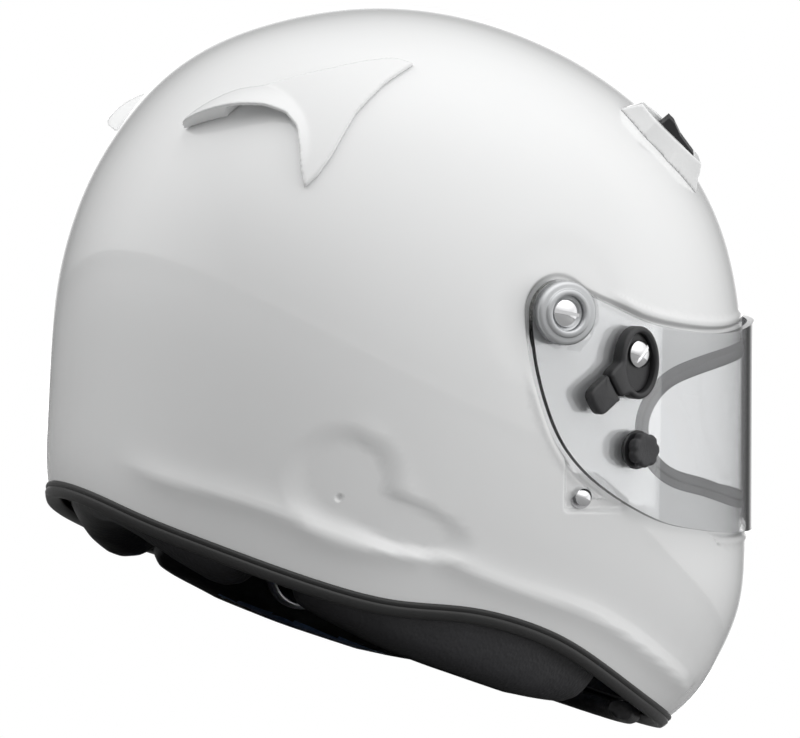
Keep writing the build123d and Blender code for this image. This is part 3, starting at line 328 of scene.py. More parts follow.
def walled(spots, normals, triangles, wall):
    """Closed skin with a wall on the inner side, and the normal of each corner."""
    count = len(spots)
    directed = sides_of(triangles)
    key, back = directed @ (count + 1, 1), directed @ (1, count + 1)
    a, b = directed[~np.isin(key, back)].T
    sides = np.stack([b, a, a + count, b + count], 1)
    vertices = np.vstack([spots, spots - normals * wall])
    start, second, last = vertices[sides[:, 0]], vertices[sides[:, 1]], vertices[sides[:, 3]]
    across = unit(np.cross(second - start, last - start), 1e-12)
    inner = triangles[:, ::-1]
    corner = np.vstack([normals[triangles].reshape(-1, 3), -normals[inner].reshape(-1, 3),
                        np.repeat(across, 4, axis=0)])
    return vertices, triangles.tolist() + (inner + count).tolist() + sides.tolist(), corner


# Pieces

SIDES = (("left", 1), ("right", -1))


def to_scene(points):
    """Blender's metres from x, f, z millimetres."""
    points = np.asarray(points, float)
    return np.stack([points[:, 0], STATION_Y - points[:, 1], points[:, 2]], axis=1) * MM


def add_object(name, data):
    thing = bpy.data.objects.new(name, data)
    bpy.context.scene.collection.objects.link(thing)
    return thing


def worked_over(mesh, work_step):
    """Runs one step of bmesh work over a mesh."""
    work = bmesh.new()
    work.from_mesh(mesh)
    work_step(work)
    work.to_mesh(mesh)
    work.free()


def add_mesh(name, vertices, faces, material, corner_normals=None, sharp=35.0):
    mesh = bpy.data.meshes.new(name)
    mesh.from_pydata(np.asarray(vertices).tolist(), [], faces)
    mesh.shade_smooth()
    if corner_normals is None:
        worked_over(mesh, lambda work: bmesh.ops.recalc_face_normals(work, faces=work.faces))
        mesh.set_sharp_from_angle(angle=math.radians(sharp))
    else:
        mesh.normals_split_custom_set(corner_normals.tolist())
    mesh.materials.append(material)
    return add_object(name, mesh)


def settle(piece, body, slot, *nodes):
    """Puts a piece on its body and hides the nodes it stands for. Its slot is not used."""
    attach(piece, body)
    if nodes:
        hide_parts(*nodes)


def skin_piece(name, points, triangles, place, steps, wall, material):
    """A thick sheet over a net whose places are x, f, z millimetres."""
    points, triangles = used(points, triangles)
    spots, normals = to_scene(place(points)), normals_of(points, place, steps) * (1, -1, 1)

    def crossed(a, b, c):
        return np.cross(spots[b] - spots[a], spots[c] - spots[a])

    outward = ((spots[triangles[:, 0]] - (0, 0, 0.13)) * crossed(*triangles.T)).sum()
    if outward <= 0:
        triangles = triangles[:, ::-1]
    along = np.zeros(len(spots))
    face = crossed(*triangles.T)
    np.add.at(along, triangles.ravel(), np.repeat((face * normals[triangles[:, 0]]).sum(1), 3))
    normals *= np.where(along < 0, -1, 1)[:, None]
    vertices, faces, corners = walled(spots, normals, triangles, wall * MM)
    return add_mesh(name, vertices, faces, material, corners)


def loops_mesh(name, loops, material, ring=False, sharp=35.0):
    """A surface through loops of equal point counts, given in Blender's metres."""
    count, total = len(loops[0]), len(loops)
    faces = []
    for low in range(total if ring else total - 1):
        high = (low + 1) % total
        for i in range(count):
            j = (i + 1) % count
            faces.append((low * count + i, low * count + j, high * count + j, high * count + i))
    if not ring:
        faces += [tuple(range(count))[::-1], tuple(range((total - 1) * count, total * count))]
    return add_mesh(name, np.vstack(loops), faces, material, sharp=sharp)


def inward(outline, inset):
    """A closed outline moved inwards by the inset."""
    ahead = unit(around(outline))
    x, y = outline.T
    area = (x * np.roll(y, -1) - y * np.roll(x, -1)).sum()
    return outline + np.stack([-ahead[:, 1], ahead[:, 0]], axis=1) * np.sign(area) * inset


def even(outline, count):
    """The closed outline again, with evenly spaced points."""
    loop = np.vstack([outline, outline[:1]])
    run = run_along(loop)
    spots = np.linspace(0, run[-1], count, endpoint=False)
    return np.stack([np.interp(spots, run, column) for column in loop.T], axis=1)


def side_place(u0, v0, out):
    """Local frame on the wearer's left: X back, Y up and Z out, to x, u, v."""
    return lambda p: from_worn(np.stack([out + p[:, 2], u0 - p[:, 0], v0 + p[:, 1]], axis=1))


def visor_place(u0, v0):
    """Local frame on the visor's outer face."""
    x0 = VISOR_A * math.sqrt(1 - ((u0 + VISOR_BACK) / VISOR_B) ** 2)
    turn = math.atan((u0 + VISOR_BACK) * VISOR_A ** 2 / (x0 * VISOR_B ** 2))
    c, s = math.cos(turn), math.sin(turn)
    return lambda p: from_worn(np.stack([x0 + p[:, 2] * c + p[:, 0] * s,
                                         u0 + p[:, 2] * s - p[:, 0] * c, v0 + p[:, 1]], axis=1))


def at_height(outline, height):
    return np.column_stack([outline, np.full(len(outline), height)])


def stacked(outline, steps):
    """Loops of an outline, moved inwards and up by each step's inset and height."""
    return [at_height(inward(outline, inset), height) for inset, height in steps]


def sided(name, side):
    """A name that ends with a low line gets the side's name."""
    return name + side if name.endswith("_") else name


def side_piece(side, sign, base, loops, place, finish, body, slot, node=None, cutter=None, **options):
    """A piece of one side, from local points that place puts on the left.
    The solid of a cutter's loops is taken out of it."""
    def solid(name, local):
        placed = [to_scene(place(loop)) * (sign, 1, 1) for loop in local]
        return loops_mesh(name, placed, MATERIALS[finish], **options)

    piece = solid(base + "_" + side, loops)
    if cutter:
        cut_by(piece, solid("slot_cutter", cutter))
    settle(piece, sided(body, side), slot, *([node + side] if node else []))


def both_sides(*values, **options):
    for side in SIDES:
        side_piece(*side, *values, **options)


def applied(piece):
    """Bakes the piece's modifiers into its mesh."""
    bpy.context.view_layer.update()
    graph = bpy.context.evaluated_depsgraph_get()
    mesh = bpy.data.meshes.new_from_object(piece.evaluated_get(graph), depsgraph=graph)
    piece.modifiers.clear()
    old, piece.data = piece.data, mesh
    bpy.data.meshes.remove(old)
    return piece


def softened(name, node, voxel, passes, material):
    """A rounded copy of a CAD node."""
    mesh = frame["nodes"][node].data.copy()
    worked_over(mesh, lambda work: bmesh.ops.remove_doubles(work, verts=work.verts, dist=1e-6))
    mesh.materials.clear()
    mesh.materials.append(MATERIALS[material])
    piece = add_object(name, mesh)
    remesh = piece.modifiers.new("remesh", "REMESH")
    remesh.mode, remesh.voxel_size, remesh.use_smooth_shade = "VOXEL", voxel * MM, True
    smooth = piece.modifiers.new("smooth", "SMOOTH")
    smooth.factor, smooth.iterations = 0.5, passes
    applied(piece)
    piece.data.shade_smooth()
    return piece


def cut_by(piece, cutter):
    """Takes the cutter's solid out of the piece."""
    cut = piece.modifiers.new("cut", "BOOLEAN")
    cut.operation, cut.object, cut.solver = "DIFFERENCE", cutter, "EXACT"
    applied(piece)
    bpy.data.objects.remove(cutter)
    piece.data.shade_smooth()
    piece.data.set_sharp_from_angle(angle=math.radians(35))


# Materials

def add_node(tree, kind, inputs=(), **options):
    """A new node. Each input, by name or number, gets a value or another node's output."""
    node = tree.nodes.new(kind)
    for key, value in options.items():
        setattr(node, key, value)
    for socket, value in dict(inputs).items():
        if isinstance(value, bpy.types.NodeSocket):
            tree.links.new(value, node.inputs[socket])
        else:
            node.inputs[socket].default_value = value
    return node


def spanned(tree, value, start=0.0, end=1.0, low=0.0, high=1.0, smooth=False):
    """A value between start and end, carried over to between low and high."""
    inputs = {"Value": value, "From Min": start, "From Max": end, "To Min": low, "To Max": high}
    kind = "SMOOTHSTEP" if smooth else "LINEAR"
    return add_node(tree, "ShaderNodeMapRange", inputs, interpolation_type=kind).outputs["Result"]


def worked_out(tree, operation, *values):
    return add_node(tree, "ShaderNodeMath", enumerate(values), operation=operation).outputs[0]


class Finish:
    """One procedural material on object coordinates."""

    def __init__(self, name, colour, roughness, **sockets):
        self.material = bpy.data.materials.new(name)
        self.material.use_nodes = True
        self.tree = self.material.node_tree
        self.shader = self.tree.nodes["Principled BSDF"]
        sockets.update(Base_Color=(*colour[:3], 1), Roughness=roughness)
        for socket, value in sockets.items():
            self.shader.inputs[socket.replace("_", " ")].default_value = value
        self.place = self.add("ShaderNodeTexCoord").outputs["Object"]
        self.relief = None

    def add(self, kind, inputs=(), **options):
        return add_node(self.tree, kind, inputs, **options)

    def shade(self, socket, value):
        self.tree.links.new(value, self.shader.inputs[socket])
        return self

    def give(self, socket, value):
        self.tree.links.new(value, self.tree.nodes["Material Output"].inputs[socket])

    def noise(self, scale, detail=3.0):
        inputs = {"Vector": self.place, "Scale": scale, "Detail": detail}
        return self.add("ShaderNodeTexNoise", inputs).outputs["Fac"]

    def cells(self, scale):
        return self.add("ShaderNodeTexVoronoi", {"Vector": self.place, "Scale": scale}).outputs["Distance"]

    def bump(self, height, strength, distance):
        inputs = {"Height": height, "Strength": strength, "Distance": distance}
        if self.relief:
            inputs["Normal"] = self.relief
        self.relief = self.add("ShaderNodeBump", inputs).outputs["Normal"]
        return self.shade("Normal", self.relief)

    def varied_roughness(self, value, low, high):
        return self.shade("Roughness", spanned(self.tree, value, low=low, high=high))

    def varied_colour(self, value, first, second):
        inputs = {0: value, 6: (*first[:3], 1), 7: (*second[:3], 1)}
        return self.shade("Base Color", self.add("ShaderNodeMix", inputs, data_type="RGBA").outputs[2])


def mixed(colour, share):
    """A colour made darker or lighter."""
    return [c * share for c in colour]


def shell_gloss(colour):
    paint = Finish("shell_gloss", colour, 0.16, Coat_Weight=1.0, Coat_Roughness=0.02)
    paint.bump(paint.noise(520.0, 2.0), 0.012, 0.001)
    return paint.varied_colour(paint.noise(14.0), colour, mixed(colour, 0.985)).material


def moulded(name, colour, roughness, grain, strength):
    """Moulded plastic or rubber with a fine grain."""
    body = Finish(name, colour, roughness)
    body.bump(body.noise(grain, 4.0), strength, 0.0004)
    body.varied_roughness(body.noise(60.0), roughness * 0.85, roughness * 1.15)
    return body.varied_colour(body.noise(35.0), colour, mixed(colour, 0.8)).material


def metal(name, colour, roughness, scratch):
    body = Finish(name, colour, roughness, Metallic=1.0)
    body.varied_roughness(body.noise(90.0, 5.0), roughness * 0.8, roughness * 1.3)
    return body.bump(body.noise(1400.0, 2.0), scratch, 0.0002).material


def vinyl(colour):
    body = Finish("pad_vinyl_grain", colour, 0.42)
    body.bump(body.cells(620.0), 0.35, 0.0005)
    body.bump(body.noise(160.0, 4.0), 0.25, 0.0012)
    body.varied_roughness(body.noise(45.0), 0.34, 0.55)
    return body.varied_colour(body.noise(60.0), colour, mixed(colour, 1.7)).material


def velour(colour):
    body = Finish("comfort_velour", colour, 0.9, Sheen_Weight=0.7, Sheen_Roughness=0.4)
    body.bump(body.noise(1300.0), 0.6, 0.0008)
    body.bump(body.noise(90.0), 0.3, 0.0015)
    return body.varied_colour(body.noise(420.0, 4.0), mixed(colour, 0.6), mixed(colour, 1.35)).material


def bead_foam(name, colour):
    body = Finish(name, colour, 0.8)
    beads = body.cells(330.0)
    body.bump(beads, 0.5, 0.0012)
    return body.varied_colour(beads, mixed(colour, 0.6), mixed(colour, 1.5)).material


def webbing(colour):
    """Woven strap: UV runs in metres along and across the strap."""
    body = Finish("strap_weave", colour, 0.75, Sheen_Weight=0.3)
    uv, waves = body.add("ShaderNodeTexCoord").outputs["UV"], []
    for turn in (math.radians(45), math.radians(-45)):
        spot = body.add("ShaderNodeMapping", {"Vector": uv, "Rotation": (0, 0, turn)}).outputs["Vector"]
        waves.append(body.add("ShaderNodeTexWave", {"Vector": spot, "Scale": 160.0}).outputs["Fac"])
    weave = worked_out(body.tree, "MULTIPLY", *waves)
    body.bump(weave, 0.8, 0.0006)
    return body.varied_colour(weave, mixed(colour, 0.7), mixed(colour, 1.8)).material


def clear_sheet(tint, depth):
    """Clear sheet that takes up light in its depth, with painted shade that darkens it where it is seen edge
    on.
    """
    body = Finish("visor_clear_sheet", tint, 0.01, Transmission_Weight=1.0, IOR=1.5)
    smoke = {"Color": (0.3, 0.31, 0.32, 1), "Density": depth}
    body.give("Volume", body.add("ShaderNodeVolumeAbsorption", smoke).outputs[0])
    # Painted shade: the sheet's colour turns near black where it is seen edge on, standing in for the dark
    # band that refraction gives at its silhouette.
    grazing = body.add("ShaderNodeLayerWeight", {"Blend": 0.5}).outputs["Facing"]
    edge_painted_shade = spanned(body.tree, grazing, start=0.72, end=0.80, smooth=True)
    body.varied_colour(edge_painted_shade, tint, (0.015, 0.015, 0.016))
    return body.bump(body.noise(18.0, 1.0), 0.003, 0.001).material


MATERIALS = {}


def make_materials():
    looks = bpy.context.scene.helmet_looks
    MATERIALS.update({
        "shell": shell_gloss(looks.shell_colour),
        "gasket": moulded("gasket_rubber", looks.gasket_colour, 0.5, 900.0, 0.15),
        "trim": moulded("edge_rubber", looks.trim_colour, 0.38, 700.0, 0.2),
        "plastic": moulded("black_plastic_grain", looks.plastic_colour, 0.33, 1100.0, 0.18),
        "post": moulded("post_plastic_grain", mixed(looks.plastic_colour, 1.5), 0.5, 1600.0, 0.5),
        "satin": metal("satin_alloy", looks.alloy_colour, 0.36, 0.12),
        "chrome": metal("polished_screws", (0.86, 0.86, 0.87), 0.12, 0.004),
        "steel": metal("plain_steel", (0.55, 0.55, 0.56), 0.3, 0.1),
        "vinyl": vinyl(looks.vinyl_colour),
        "velour": velour(looks.velour_colour),
        "liner": bead_foam("liner_beads", looks.liner_colour),
        "filter": bead_foam("filter_cells", mixed(looks.liner_colour, 0.6)),
        "strap": webbing(looks.strap_colour),
        "visor": clear_sheet(looks.visor_tint, looks.visor_depth),
        # Painted shade: a near black finish on the visor's front rim faces, standing in for the dark band
        # that refraction gives the clear sheet's edge.
        "visor_edge": Finish("visor_rim_painted_shade", (0.03, 0.03, 0.032), 0.25).material,
        "nylon": moulded("bush_nylon", (0.72, 0.72, 0.68), 0.45, 500.0, 0.1),
        "thread": moulded("seam_thread", (0.05, 0.05, 0.055), 0.6, 2400.0, 0.3),
    })


# Shell

def dome_place(points):
    """Places on the plain shell form, from profile share and angle round it."""
    share, angle = points[:, 0], points[:, 1]
    at = np.clip(share, 0, 1) * (len(PROFILE) - 1)
    low = np.minimum(at.astype(int), len(PROFILE) - 2)
    part = (at - low)[:, None]
    z, front, rear, half = (PROFILE[low] * (1 - part) + PROFILE[low + 1] * part).T
    centre = 13.0 * (z / SHELL_SIZES[0]) ** 8
    c, s = np.cos(angle), np.sin(angle)
    full = np.where(c >= 0, 1.98, 2.1)
    reach = np.where(c >= 0, front - centre, rear + centre)
    f = centre + reach * np.sign(c) * np.abs(c) ** (2 / full)
    x = half * np.sign(s) * np.abs(s) ** (2 / full)
    top = np.clip((share - 1) / 0.01, 0, 1)
    return np.stack([x * (1 - top), f + (centre - f) * top, z + 0.1 * top], axis=1)


def line_distance(a, b, line):
    result = np.full(len(a), 99.0)
    for start, end in zip(line, line[1:]):
        run = end - start
        da, db = a - start[0], b - start[1]
        share = np.clip((da * run[0] + db * run[1]) / (run @ run), 0, 1)
        result = np.minimum(result, np.hypot(da - share * run[0], db - share * run[1]))
    return result


def shell_lift(x, f, z):
    """Low forms pressed into the shell's sides: two crease lines, a round hollow and a dimple."""
    lift = np.zeros(len(x))
    near = (z < 110) & (np.abs(x) > 40)
    fn, zn = f[near], z[near]
    ridge = sum(np.exp(-(line_distance(fn, zn, line) / 5.5) ** 1.5) for line in RIDGES)
    round_part = np.hypot((fn - HOLLOW_F) / 22, (zn - HOLLOW_Z) / 20)
    wing = np.hypot((fn + 16) / 32, (zn - 50) / 11)
    joined = -np.log(np.exp(-5 * round_part) + np.exp(-5 * wing)) / 5
    hollow = 1 - smooth_step(0.60, 1.12, joined)
    part = 2.3 * np.minimum(ridge, 1.1) * (1 - hollow) - 1.8 * hollow
    part -= 1 - smooth_step(0.6, 1.9, np.hypot(fn - DIMPLE_F, zn - DIMPLE_Z))
    lift[near] = part * smooth_step(40, 70, np.abs(x[near]))
    return lift


def under_visor(x, u):
    """Places of x and u brought in to the recess floor, where they lie outside it."""
    reach = np.sqrt((x / RECESS_A) ** 2 + ((u + VISOR_BACK) / RECESS_B) ** 2)
    scale = np.minimum(1, 1 / np.maximum(reach, 1e-6))
    return x * scale, (u + VISOR_BACK) * scale - VISOR_BACK


def shell_place(points):
    """Places on the shell, with its pressed forms, the stud's pocket and the visor's recess."""
    spots = dome_place(points)
    normals = normals_of(points, dome_place, (0.0012, 0.004))
    normals *= np.sign((normals * (spots - (0, 13, 130))).sum(1))[:, None]
    x, f, z = spots.T
    lift = shell_lift(x, f, z)
    u, v = worn(f, z)
    pocket = edge_distance(u, v, POCKET_LINE) - 3.0
    lift -= 1.6 * (1 - smooth_step(-1.8, 0.9, pocket)) * (np.abs(x) > 60)
    floor_x, floor_u = under_visor(x, u)
    gap = edge_distance(floor_u, v, VISOR_LINE) - 2.2
    swept_by_visor = 1 - smooth_step(24, 36, np.hypot(u, v))
    raised = 0.55 * np.exp(-((gap - 2.2) / 1.6) ** 2) * smooth_step(0.2, 1.5, x ** 2 - floor_x ** 2)
    lift += raised * (1 - swept_by_visor) - 0.5 * swept_by_visor
    x, f, z = (spots + normals * lift[:, None]).T
    u, v = worn(f, z)
    floor_x, floor_u = under_visor(x, u)
    share = 1 - smooth_step(-1.3, 0.7, gap)
    x, u = x + (floor_x - x) * share, u + (floor_u - u) * share
    f, z = standing(u, v)
    return np.stack([x, f, z], axis=1)


def vent_distance(x, f, z):
    """Distance to the two vent slots in the chin bar."""
    low, high = (np.hypot(np.maximum(np.abs(x) - VENT_HALF, 0), z - height) for height in VENT_HEIGHTS)
    return np.where(f > 60, np.minimum(np.minimum(low, high) - VENT_RADIUS, 30.0), 30.0)


def shell_wanted(spots):
    """Lengths of side that the shell's detail needs."""
    x, f, z = spots.T
    u, v = worn(f, z)
    low, form = (z < 105) & (np.abs(x) > 40), np.full(len(x), 30.0)
    fl, zl = f[low], z[low]
    ridges = [line_distance(fl, zl, line) - 9 for line in RIDGES]
    form[low] = np.minimum.reduce([form[low], *ridges, np.hypot(fl - HOLLOW_F, zl - HOLLOW_Z) - 26,
                                   np.hypot((fl + 18) / 4, zl - 50) - 10])
    dimple = np.abs(np.hypot(f - DIMPLE_F, z - DIMPLE_Z) - 1.2)
    return np.clip(1.42 * np.minimum.reduce([
        0.7 + 0.5 * np.minimum(np.abs(edge_distance(u, v, PORT_LINE) - PORT_EDGE), 9),
        0.5 + 0.45 * np.maximum(np.abs(edge_distance(u, v, VISOR_LINE) - 2.0) - 1.2, 0),
        0.5 + 0.5 * np.maximum(np.abs(edge_distance(u, v, POCKET_LINE) - 2.5) - 1.0, 0),
        1.4 + 0.6 * np.abs(z - rim_height(f)),
        0.8 + 0.6 * np.abs(vent_distance(x, f, z)),
        2.2 + 0.6 * np.maximum(form, 0),
        0.4 + 0.4 * dimple + np.where(np.abs(x) > 60, 0, 30),
    ]), 0.5, 6.0)


def make_shell():
    shares = np.concatenate([np.linspace(0, 1, 96), [1.01]])
    points, triangles = net(shares, np.linspace(-math.pi, math.pi, 193))
    points, triangles = refined(points, triangles, shell_place, shell_wanted, 7)
    x, f, z = shell_place(points).T
    port = edge_distance(*worn(f, z), PORT_LINE) - PORT_EDGE
    field = np.minimum.reduce([z - rim_height(f), port, vent_distance(x, f, z)])
    points, triangles = clipped(points, triangles, field)
    points[points[:, 1] > math.pi - 1e-9, 1] -= 2 * math.pi
    points[points[:, 0] > 1.0099, 1] = 0
    shell = skin_piece("shell_skin", points, triangles, shell_place, (0.0008, 0.003), SHELL_WALL,
                       MATERIALS["shell"])
    settle(shell, "helmet", "shell_paint", "outer_shell")


# Visor and what it carries

def visor_skin(points):
    """Places on the visor's outer face, from its angle and height."""
    angle, v = points[:, 0], points[:, 1]
    x, u = VISOR_A * np.sin(angle), VISOR_B * np.cos(angle) - VISOR_BACK
    flat = 1 - smooth_step(13.4, 19.0, np.hypot(u, v))
    x = x + (np.sign(x) * WING_TOP - x) * flat
    return from_worn(np.stack([x, u, v], axis=1))


def visor_wanted(spots):
    u, v = worn(spots[:, 1], spots[:, 2])
    return np.clip(0.8 + 0.6 * np.abs(edge_distance(u, v, VISOR_LINE)), 0.8, 5.0)


def make_visor():
    points, triangles = net(np.linspace(-1.66, 1.66, 93), np.linspace(-104, 18, 27))
    points, triangles = refined(points, triangles, visor_skin, visor_wanted, 4)
    spots = visor_skin(points)
    u, v = worn(spots[:, 1], spots[:, 2])
    field = np.minimum(-edge_distance(u, v, VISOR_LINE), np.hypot(u, v) - 6.05)
    points, triangles = clipped(points, triangles, field)
    sheet = skin_piece("visor_sheet", points, triangles, visor_skin, (0.002, 0.2), VISOR_WALL,
                       MATERIALS["visor"])
    sheet.data.materials.append(MATERIALS["visor_edge"])
    # The front rim faces get the painted shade finish.
    for face in sheet.data.polygons:
        if len(face.vertices) == 4 and face.center.y < PAINTED_EDGE_SHADE_FROM * MM:
            face.material_index = 1
    settle(sheet, "visor", "visor_clear", "visor")


def lathe_loops(profile, count=72):
    turns = full_turn(count)
    return [at_height(polar(max(radius, 0.02), turns), height) for radius, height in profile]


def domed(radius, edge, rise, foot=0.0, steps=9):
    """Profile of a domed head: radius and height from its foot to its top."""
    sphere = (radius ** 2 + rise ** 2) / (2 * rise)
    turns = np.linspace(math.asin(radius / sphere), 0, steps)
    dome = [(sphere * math.sin(t), foot + edge + rise - sphere * (1 - math.cos(t))) for t in turns]
    return [(radius - 0.25, foot), (radius, foot + 0.25), (radius, foot + edge - 0.15)] + dome


def slotted_heads(base, profile, place, turn, floor, body, node):
    """Turned chrome heads with a screwdriver slot down to the floor, for both sides."""
    bar = turned(np.array([(-9, -0.65), (9, -0.65), (9, 0.65), (-9, 0.65)]), math.radians(turn))
    both_sides(base, lathe_loops(profile, 96), place, "chrome", body, "chrome", node,
               cutter=stacked(bar, [(0, floor), (0, floor + 9)]))


def make_pivots():
    foot = WING_TOP + 0.3
    profile = [(2.7, 0), (12.7, 0), (13.0, 0.3), (13.0, 3.6), (12.8, 4.3), (12.2, 4.85), (11.3, 5.0),
               (10.2, 5.0), (10.0, 5.06), (9.8, 5.3), (9.72, 5.75), (9.4, 6.0), (8.0, 6.0), (7.5, 5.9),
               (7.2, 5.55), (7.2, 2.75), (7.05, 2.6), (2.7, 2.6)]
    both_sides("pivot_cover", lathe_loops(profile, 120), side_place(0, 0, foot), "satin", "helmet",
               "satin_alloy", "pivot_disc_", ring=True, sharp=50)
    head = [(2.5, -9.0), (2.5, 0.02)] + domed(5.6, 1.2, 1.4)
    slotted_heads("pivot_screw_head", head, side_place(0, 0, foot + 2.6), 10, 1.2, "helmet", "pivot_screw_")


def lock_outline(wide, tall, root=0.1, half_root=0.1):
    """Oval with the lever's root standing out of it, seen along the lock's axis."""
    turns = full_turn(240)
    oval = wide * tall / np.hypot(tall * np.cos(turns), wide * np.sin(turns))
    away = turns - LOCK_TURN
    c, s = np.cos(away), np.maximum(np.abs(np.sin(away)), 1e-6)
    bar = np.where(c > 0, np.minimum(root / np.maximum(c, 1e-6), half_root / s), 0)
    reach = np.maximum(oval, bar)
    for _ in range(2):
        reach = np.convolve(np.concatenate([reach[-3:], reach, reach[:3]]), np.ones(7) / 7, "valid")
    return polar(reach, turns)


def make_locks():
    place = visor_place(*LOCK_PLACE)
    loops = stacked(lock_outline(10.6, 15.0, 16.6, 6.2),
                    [(0, -1.0), (0, 3.6), (0.25, 4.3), (0.8, 4.85), (1.3, 5.0)])
    loops += stacked(lock_outline(7.9, 12.3), [(-0.9, 5.0), (-0.35, 4.8), (0, 4.3), (0, -0.6)])
    both_sides("lock_ring_body", loops, place, "plastic", "visor", "black_plastic", "lock_ring_",
               ring=True, sharp=40)
    plate = stacked(lock_outline(7.6, 12.0), [(0, 0.5), (0, 1.7), (0.3, 2.0)])
    x, y = polar(1, full_turn(64)).T
    tab = np.stack([np.where(x > 0, 30.0 - 5.0 * (1 - np.abs(x) ** 0.8), 17.3),
                    6.2 * np.sign(y) * np.abs(y) ** 0.55], axis=1)
    tab = turned(even(tab, 160), LOCK_TURN)
    loops = stacked(tab, [(0, 0.3), (0, 3.3), (0.25, 3.95), (0.75, 4.3), (1.6, 4.45)])
    loops.append(at_height(tab * 0.2 + tab.mean(0) * 0.8, 4.75))
    tongue = turned(np.array([(10.4, -3.8), (19.0, -3.8), (19.0, 3.8), (10.4, 3.8)]), LOCK_TURN)
    tongue = stacked(tongue, [(0, 0.6), (0, 2.1)])
    lever = place, "plastic", "lock_lever_", "black_plastic"
    for side in SIDES:
        side_piece(*side, "lock_lever_plate", plate, place, "plastic", "visor", "black_plastic")
        side_piece(*side, "lock_lever_tab", loops, *lever, "lock_lever_")
        side_piece(*side, "lock_lever_tongue", tongue, *lever)
    head = [(2.4, -2.3), (2.4, 0.02)] + domed(5.6, 0.8, 2.2)
    slotted_heads("lock_screw_head", head, lambda p: place(p + (-1.0, 3.5, 2.4)), 135, 1.6, "visor",
                  "lock_screw_")


def make_posts():
    place = visor_place(*POST_PLACE)
    base = [(7.7, -0.4), (8.0, 0.1), (8.0, 1.1), (7.6, 1.6), (4.6, 1.65), (4.5, 1.9), (4.5, 2.9)]
    both_sides("tear_off_foot", lathe_loops(base), place, "plastic", "visor", "grey_plastic",
               "tear_off_base_")
    turns = full_turn(210)
    lobes = polar(7.1 - 0.75 * (0.5 + 0.5 * np.cos(7 * turns)) ** 3, turns)
    loops = stacked(lobes, [(0.4, 2.8), (0, 3.1), (0, 6.3), (0.3, 6.95), (0.9, 7.3), (1.6, 7.4)])
    loops += [at_height(lobes * share, height)
              for share, height in ((0.55, 7.25), (0.3, 7.1), (0.02, 7.05))]
    both_sides("tear_off_knob", loops, place, "post", "visor", "grey_plastic", "tear_off_cap_")


def make_studs():
    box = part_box("stay_stud_left")
    seat, top = box[0].x / MM, box[1].x / MM
    rise = top - seat - 2.6
    profile = [(2.4, 0), (2.4, rise)] + domed(3.6, 1.0, 1.6, foot=rise)
    both_sides("stay_stud_head", lathe_loops(profile), side_place(*STUD_PLACE, seat), "chrome",
               "helmet", "chrome", "stay_stud_")


# Rubber parts

def swept(name, path, normals, profile, finish, sharp, *settling):
    """Carries a closed profile of (across, out) along a closed path. Path and normals are in x, f, z."""
    ahead = unit(around(path))
    normals = unit(normals - ahead * (normals * ahead).sum(1)[:, None])
    across = np.cross(ahead, normals)
    loops = np.stack([to_scene(path + across * b + normals * n) for b, n in profile], axis=1)
    settle(loops_mesh(name, list(loops), MATERIALS[finish], ring=True, sharp=sharp), *settling)


def port_loop(count):
    """Closed line of the port's edge on the recess floor."""
    u = RECESS_B * np.cos(np.linspace(0.30, 0, 60)) - VISOR_BACK
    turn = np.argmin(PORT_LINE[:, 0])
    halves = []
    for branch in (PORT_LINE[:turn + 1][::-1], PORT_LINE[turn + 1:]):
        front = np.stack([u, np.interp(u, *branch.T)], axis=1)
        halves.append(np.vstack([branch[branch[:, 0] < u[0]], front]))
    left = np.vstack([halves[0][::-1], halves[1]])
    x = RECESS_A * np.sqrt(np.maximum(1 - ((left[:, 0] + VISOR_BACK) / RECESS_B) ** 2, 0))
    left = np.column_stack([x, left])
    return even(np.vstack([left, left[1:-1][::-1] * (-1, 1, 1)]), count)


def make_gasket():
    loop = port_loop(520)
    out = unit((loop + (0, VISOR_BACK, 0)) * (1, 1, 0) / (RECESS_A ** 2, RECESS_B ** 2, 1))
    path = from_worn(loop)
    flat = from_worn(loop + out) - path
    if (np.cross(around(path), flat) * (path - path.mean(0))).sum() <= 0:
        path, flat = path[::-1], flat[::-1]
    profile = [(0.3, -4.9), (0.0, -4.4), (0.0, -0.4), (0.35, 0.35), (1.0, 0.75), (3.6, 0.8), (4.1, 0.62),
               (4.4, 0.3), (4.8, 0.2), (6.9, 0.2), (7.6, 0.05), (7.9, -0.15), (7.8, -0.4), (2.3, -0.3),
               (2.2, -3.7), (7.0, -3.9), (7.2, -4.6), (6.8, -5.0)]
    swept("gasket_band", path, flat, profile, "gasket", 60, "helmet", "black_rubber", "eye_port_gasket")


def rim_path(count):
    """Line of the shell's lower edge, with the shell's outward directions."""
    angles = np.linspace(-math.pi, math.pi, count, endpoint=False)
    low, high = np.zeros(count), np.full(count, 0.3)
    for _ in range(40):
        middle = (low + high) / 2
        f, z = dome_place(np.stack([middle, angles], axis=1)).T[1:]
        under = z < rim_height(f)
        low, high = np.where(under, middle, low), np.where(under, high, middle)
    points = np.stack([low, angles], axis=1)
    path = dome_place(points)
    normals = np.cross(dome_place(points + (0.001, 0)) - path, dome_place(points + (0, 0.002)) - path)
    normals *= np.sign((normals * (path - (0, 13, 120))).sum(1))[:, None]
    return path, unit(normals)


def make_trim():
    path, normals = rim_path(560)
    if np.cross(around(path), normals)[:, 2].mean() < 0:
        path, normals = path[::-1], normals[::-1]
    profile = [(5.0, 0.15), (4.9, 0.7), (4.2, 1.15), (3.1, 1.2), (2.8, 1.0), (2.5, 1.3), (1.9, 1.75),
               (0.0, 1.8), (-1.3, 1.6), (-2.1, 0.7), (-2.2, -1.2), (-2.2, -3.0), (-1.6, -4.6), (-0.2, -5.1),
               (3.6, -5.1), (4.7, -4.9), (5.0, -4.2), (5.0, -3.6), (0.1, -3.5), (0.05, -0.02), (5.0, 0.0)]
    swept("edge_trim_band", path, normals, profile, "trim", 50, "helmet", "black_rubber", "base_edge_trim")


# Covers

